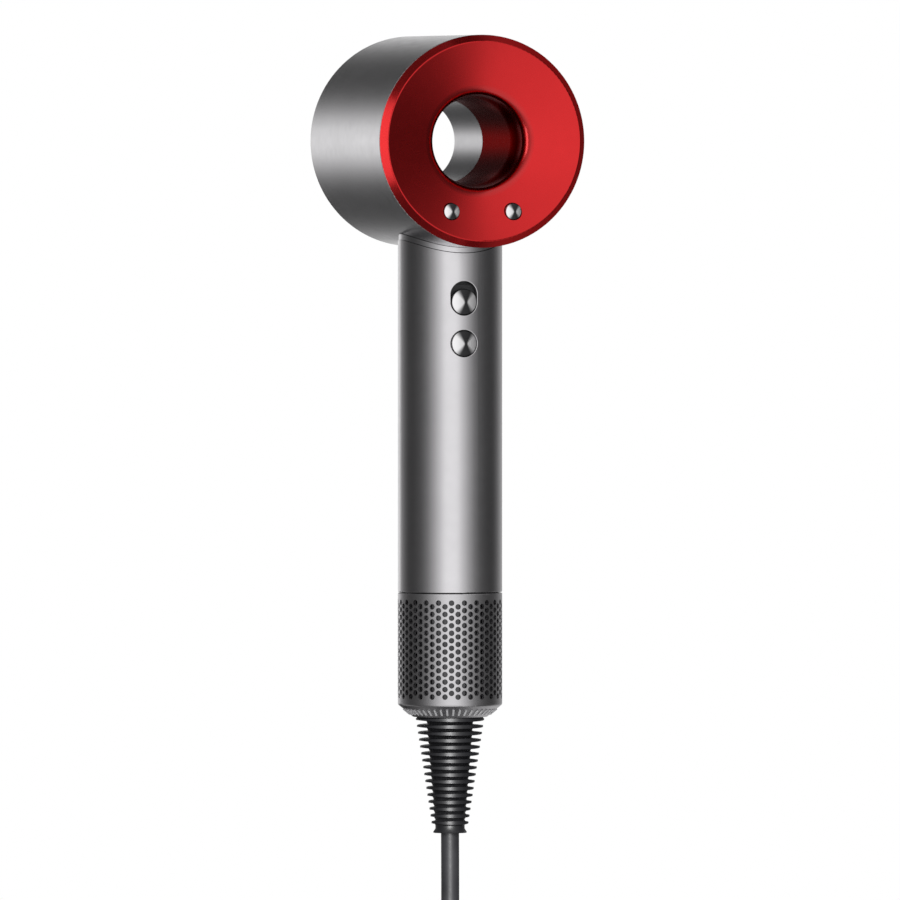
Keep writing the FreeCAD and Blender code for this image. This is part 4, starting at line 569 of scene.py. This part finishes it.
def make_boot():
    """The strain relief: its ribs are lens-shaped seen from the front, thin at the sides.

    Each point of the outline is a radius, a height, whether the rib's thickness moves it, and which
    way: 1 up, -1 down.
    """
    steps = 96
    outline = [(radius, z, 0.0, 0) for radius, z in (
        (BOOT_FLANGE_R, BOOT_FLANGE_TOP_Z), (BOOT_FLANGE_R, BOOT_GROOVE_TOP_Z),
        (BOOT_GROOVE_R, BOOT_GROOVE_TOP_Z), (BOOT_GROOVE_R, BOOT_HEAD_TOP_Z),
        (BOOT_HEAD_R, BOOT_HEAD_TOP_Z), (BOOT_HEAD_R, BOOT_FIRST_RIB_Z + BOOT_HEAD_LIP))]
    for k in range(BOOT_RIBS):
        share = k / (BOOT_RIBS - 1)
        tip = BOOT_RIB_RADII[0] + (BOOT_RIB_RADII[1] - BOOT_RIB_RADII[0]) * share
        core = BOOT_CORE_RADII[0] + (BOOT_CORE_RADII[1] - BOOT_CORE_RADII[0]) * share
        z = BOOT_FIRST_RIB_Z - k * BOOT_RIB_PITCH
        if k:
            outline += [(core, z + BOOT_FILLET_UP, 0.0, 0),
                        (core + BOOT_FILLET_OUT, z + BOOT_ROOT_HALF, 1.0, 1)]
        outline += [(tip - BOOT_TIP_ROUND, z + 0.02, 1.0, 1), (tip, z - 0.1, 1.0, 1),
                    (tip, z + 0.1, 1.0, -1), (tip - BOOT_TIP_ROUND, z - 0.02, 1.0, -1)]
        outline += [(core + BOOT_FILLET_OUT, z - BOOT_ROOT_HALF, 1.0, -1),
                    (core, z - BOOT_FILLET_UP, 0.0, 0)]
    low = BOOT_END_Z / MM
    outline += [(BOOT_CORE_RADII[1], low + 1.6, 0.0, 0), (BOOT_END_RADII[0], low + 0.3, 0.0, 0),
                (BOOT_END_RADII[1], low, 0.0, 0), (3.32, low, 0.0, 0)]
    rings = []
    for radius, z, grows, side in outline:
        ring = []
        for j in range(steps):
            turn = 2.0 * math.pi * j / steps
            thick = abs(math.cos(turn)) ** BOOT_LENS_POWER
            half = BOOT_TIP_HALF + (BOOT_LENS_HALF - BOOT_TIP_HALF) * thick
            ring.append(Vector((radius * math.sin(turn), -radius * math.cos(turn),
                                z + side * half * grows)) * MM)
        rings.append(ring)
    boot = loft("boot_shell", rings, finish["black_rubber"], 0)
    boot.data.set_sharp_from_angle(angle=BOOT_SHARP_ANGLE)
    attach(boot, "root")
    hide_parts("strain_relief")
    return boot


cord = make_cord()
plug = make_plug()
boot = make_boot()


# ---- floor ----
def make_floor():
    low = cad_bounds[0][2] - FLOOR_DROP
    steps = 96
    turns = [2 * math.pi * k / steps for k in range(steps)]
    rim = [(FLOOR_R * math.cos(turn), FLOOR_R * math.sin(turn), low) for turn in turns]
    shader = basic("pale_floor", (0.86, 0.86, 0.86), 0.0, 0.75, 0.05, 0.01, 300.0, 0.05, 3.0)
    floor = new_mesh("floor", rim, [tuple(range(steps))], shader.material, False)
    floor.visible_glossy = False


make_floor()


# ---- light ----
# Brightness by the cosine of the angle from the room's front, scaled from behind (0) to in front (1).
GLOW = ((0.0, 0.6), (0.04, 0.48), (0.134, 0.29), (0.242, 0.13), (0.345, 0.065), (0.439, 0.055),
        (0.526, 0.065), (0.663, 0.095), (0.78, 0.19), (0.877, 0.42), (0.941, 0.72), (1.0, 1.25))
# Brightness of the backdrop by height over its half height; 0.5 is its edge.
BACKDROP = ((0.0, 1.0), (0.2, 0.9), (0.335, 0.64), (0.5, 0.33), (0.578, 0.19), (0.625, 0.09),
            (0.685, 0.025), (0.75, 0.01), (1.0, 0.03))
BACKDROP_HALF_H = 0.205             # at the middle of its width, as a share of the distance
BACKDROP_SLANT = 0.2                # it grows taller toward +x
BACKDROP_TOWARD = (-0.72, -0.85)    # cosines between which the room gives way to the backdrop
BACKDROP_HALF_W = (0.42, 0.32)
GLOW_LIFT = 0.6                     # the room grows brighter up and down
GLOW_MOST = (1.3, -0.5)             # at the horizon, and its change up and down


def make_world():
    """White to the camera. Reflections see a dark room with a bright front and a bright backdrop."""
    world = bpy.data.worlds.new("studio")
    bpy.context.scene.world = world
    world.use_nodes = True
    tree = world.node_tree
    tree.nodes.clear()

    def sum_of(operation, a, b=None, clamp=False):
        made = tree.nodes.new("ShaderNodeMath")
        made.operation = operation
        made.use_clamp = clamp
        for socket, value in zip(made.inputs, (a, b)):
            if isinstance(value, (int, float)):
                socket.default_value = value
            elif value is not None:
                tree.links.new(value, socket)
        return made.outputs[0]

    def ramp_of(value, stops):
        ramp = tree.nodes.new("ShaderNodeValToRGB")
        ramp.color_ramp.interpolation = "EASE"
        while len(ramp.color_ramp.elements) < len(stops):
            ramp.color_ramp.elements.new(0.5)
        for element, (position, _) in zip(ramp.color_ramp.elements, stops):
            element.position = position
        for element, (_, level) in zip(ramp.color_ramp.elements, stops):
            element.color = (level, level, level, 1.0)
        tree.links.new(value, ramp.inputs["Fac"])
        return ramp.outputs["Color"]

    coords = tree.nodes.new("ShaderNodeTexCoord")
    parts = tree.nodes.new("ShaderNodeSeparateXYZ")
    tree.links.new(coords.outputs["Generated"], parts.inputs[0])
    x, y, z = parts.outputs[0], parts.outputs[1], parts.outputs[2]
    flat = sum_of("SQRT", sum_of("ADD", sum_of("ADD", sum_of("MULTIPLY", x, x),
                                               sum_of("MULTIPLY", y, y)), 0.0001))
    toward = sum_of("DIVIDE", sum_of("ADD", sum_of("MULTIPLY", x, toward_glow.x),
                                     sum_of("MULTIPLY", y, toward_glow.y)), flat)
    height = sum_of("ABSOLUTE", z)
    around = ramp_of(sum_of("ADD", sum_of("MULTIPLY", toward, 0.5), 0.5), GLOW)
    lift = sum_of("ADD", sum_of("MULTIPLY", height, GLOW_LIFT), 1.0)
    most = sum_of("ADD", sum_of("MULTIPLY", height, GLOW_MOST[1]), GLOW_MOST[0])
    front = sum_of("MINIMUM", sum_of("MULTIPLY", around, lift), most)
    band = sum_of("ADD", sum_of("MULTIPLY", x, BACKDROP_SLANT), BACKDROP_HALF_H)
    back = ramp_of(sum_of("MULTIPLY", sum_of("DIVIDE", height, band), 0.5, True), BACKDROP)
    behind = tree.nodes.new("ShaderNodeMapRange")
    behind.interpolation_type = "SMOOTHSTEP"
    tree.links.new(toward, behind.inputs["Value"])
    beside = tree.nodes.new("ShaderNodeMapRange")
    tree.links.new(sum_of("ABSOLUTE", x), beside.inputs["Value"])
    for limits, (start, end) in ((behind, BACKDROP_TOWARD), (beside, BACKDROP_HALF_W)):
        limits.inputs["From Min"].default_value = start
        limits.inputs["From Max"].default_value = end
    mix = tree.nodes.new("ShaderNodeMix")
    mix.data_type = "RGBA"
    sockets = {s.name: s for s in mix.inputs if s.type == "RGBA"}
    tree.links.new(sum_of("MULTIPLY", behind.outputs["Result"], beside.outputs["Result"]),
                   mix.inputs["Factor"])
    tree.links.new(front, sockets["A"])
    tree.links.new(back, sockets["B"])
    glow = tree.nodes.new("ShaderNodeBackground")
    tree.links.new([s for s in mix.outputs if s.type == "RGBA"][0], glow.inputs["Color"])
    white = tree.nodes.new("ShaderNodeBackground")
    white.inputs[0].default_value = (1.0, 1.0, 1.0, 1.0)
    path = tree.nodes.new("ShaderNodeLightPath")
    choose = tree.nodes.new("ShaderNodeMixShader")
    output = tree.nodes.new("ShaderNodeOutputWorld")
    tree.links.new(path.outputs["Is Camera Ray"], choose.inputs[0])
    tree.links.new(glow.outputs[0], choose.inputs[1])
    tree.links.new(white.outputs[0], choose.inputs[2])
    tree.links.new(choose.outputs[0], output.inputs[0])


def soft_light(name, place, aim, size, power, glossy, tall=None, seen_by=None):
    """A disc, or a rectangle where tall is given, that lights everything or only seen_by."""
    data = bpy.data.lights.new(name, "AREA")
    data.shape = "RECTANGLE" if tall else "DISK"
    data.size = size
    if tall:
        data.size_y = tall
    data.energy = power
    light = bpy.data.objects.new(name, data)
    bpy.context.scene.collection.objects.link(light)
    light.location = place
    light.rotation_euler = (Vector(aim) - Vector(place)).to_track_quat("-Z", "Y").to_euler()
    light.visible_camera = False
    light.visible_glossy = glossy
    if seen_by:
        receivers = bpy.data.collections.new(name + "_receivers")
        for obj in seen_by:
            receivers.objects.link(obj)
        light.light_linking.receiver_collection = receivers
    return light


make_world()
boot_middle = (0, 0, -0.11)
rim_middle = (0, -0.045, HEAD_Z)
rubber = [boot, cord, plug, nodes["plug_boot"], nodes["cord_tie"]]
soft_light("overhead", (0.3, -0.6, 2.2), (0, 0, -0.2), 1.8, 26.0, False)
soft_light("front_fill", tuple(toward_camera * 3.0 + Vector((0, 0, 0.6))), (0, 0, 0), 1.4, 18.0, False)
soft_light("left_strip", (-0.62, -0.06, HEAD_Z), rim_middle, 0.22, 0.75, True, 0.7,
           [nodes["rear_funnel"]])
soft_light("bore_strip", (-0.60, -0.24, HEAD_Z), rim_middle, 0.14, 0.45, True, 0.45,
           [nodes["rear_funnel"]])
soft_light("boot_front", tuple(toward_camera * 2.0 + Vector((0, 0, 0.2))), boot_middle, 0.8, 95.0,
           True, 1.2, rubber)


# ---- camera ----
def make_camera():
    data = bpy.data.cameras.new("camera")
    data.lens = CAMERA_LENS
    data.sensor_width = SENSOR_WIDTH
    data.clip_start = 0.1
    data.clip_end = 100.0
    camera = bpy.data.objects.new("camera", data)
    bpy.context.scene.collection.objects.link(camera)
    camera.location = toward_camera * CAMERA_DISTANCE + Vector((0.0, 0.0, HEAD_Z))
    aim = Vector((0.0, 0.0, CAMERA_AIM_Z))
    camera.rotation_euler = (aim - camera.location).to_track_quat("-Z", "Y").to_euler()
    bpy.context.scene.camera = camera


make_camera()
bpy.context.scene.view_settings.view_transform = "Standard"
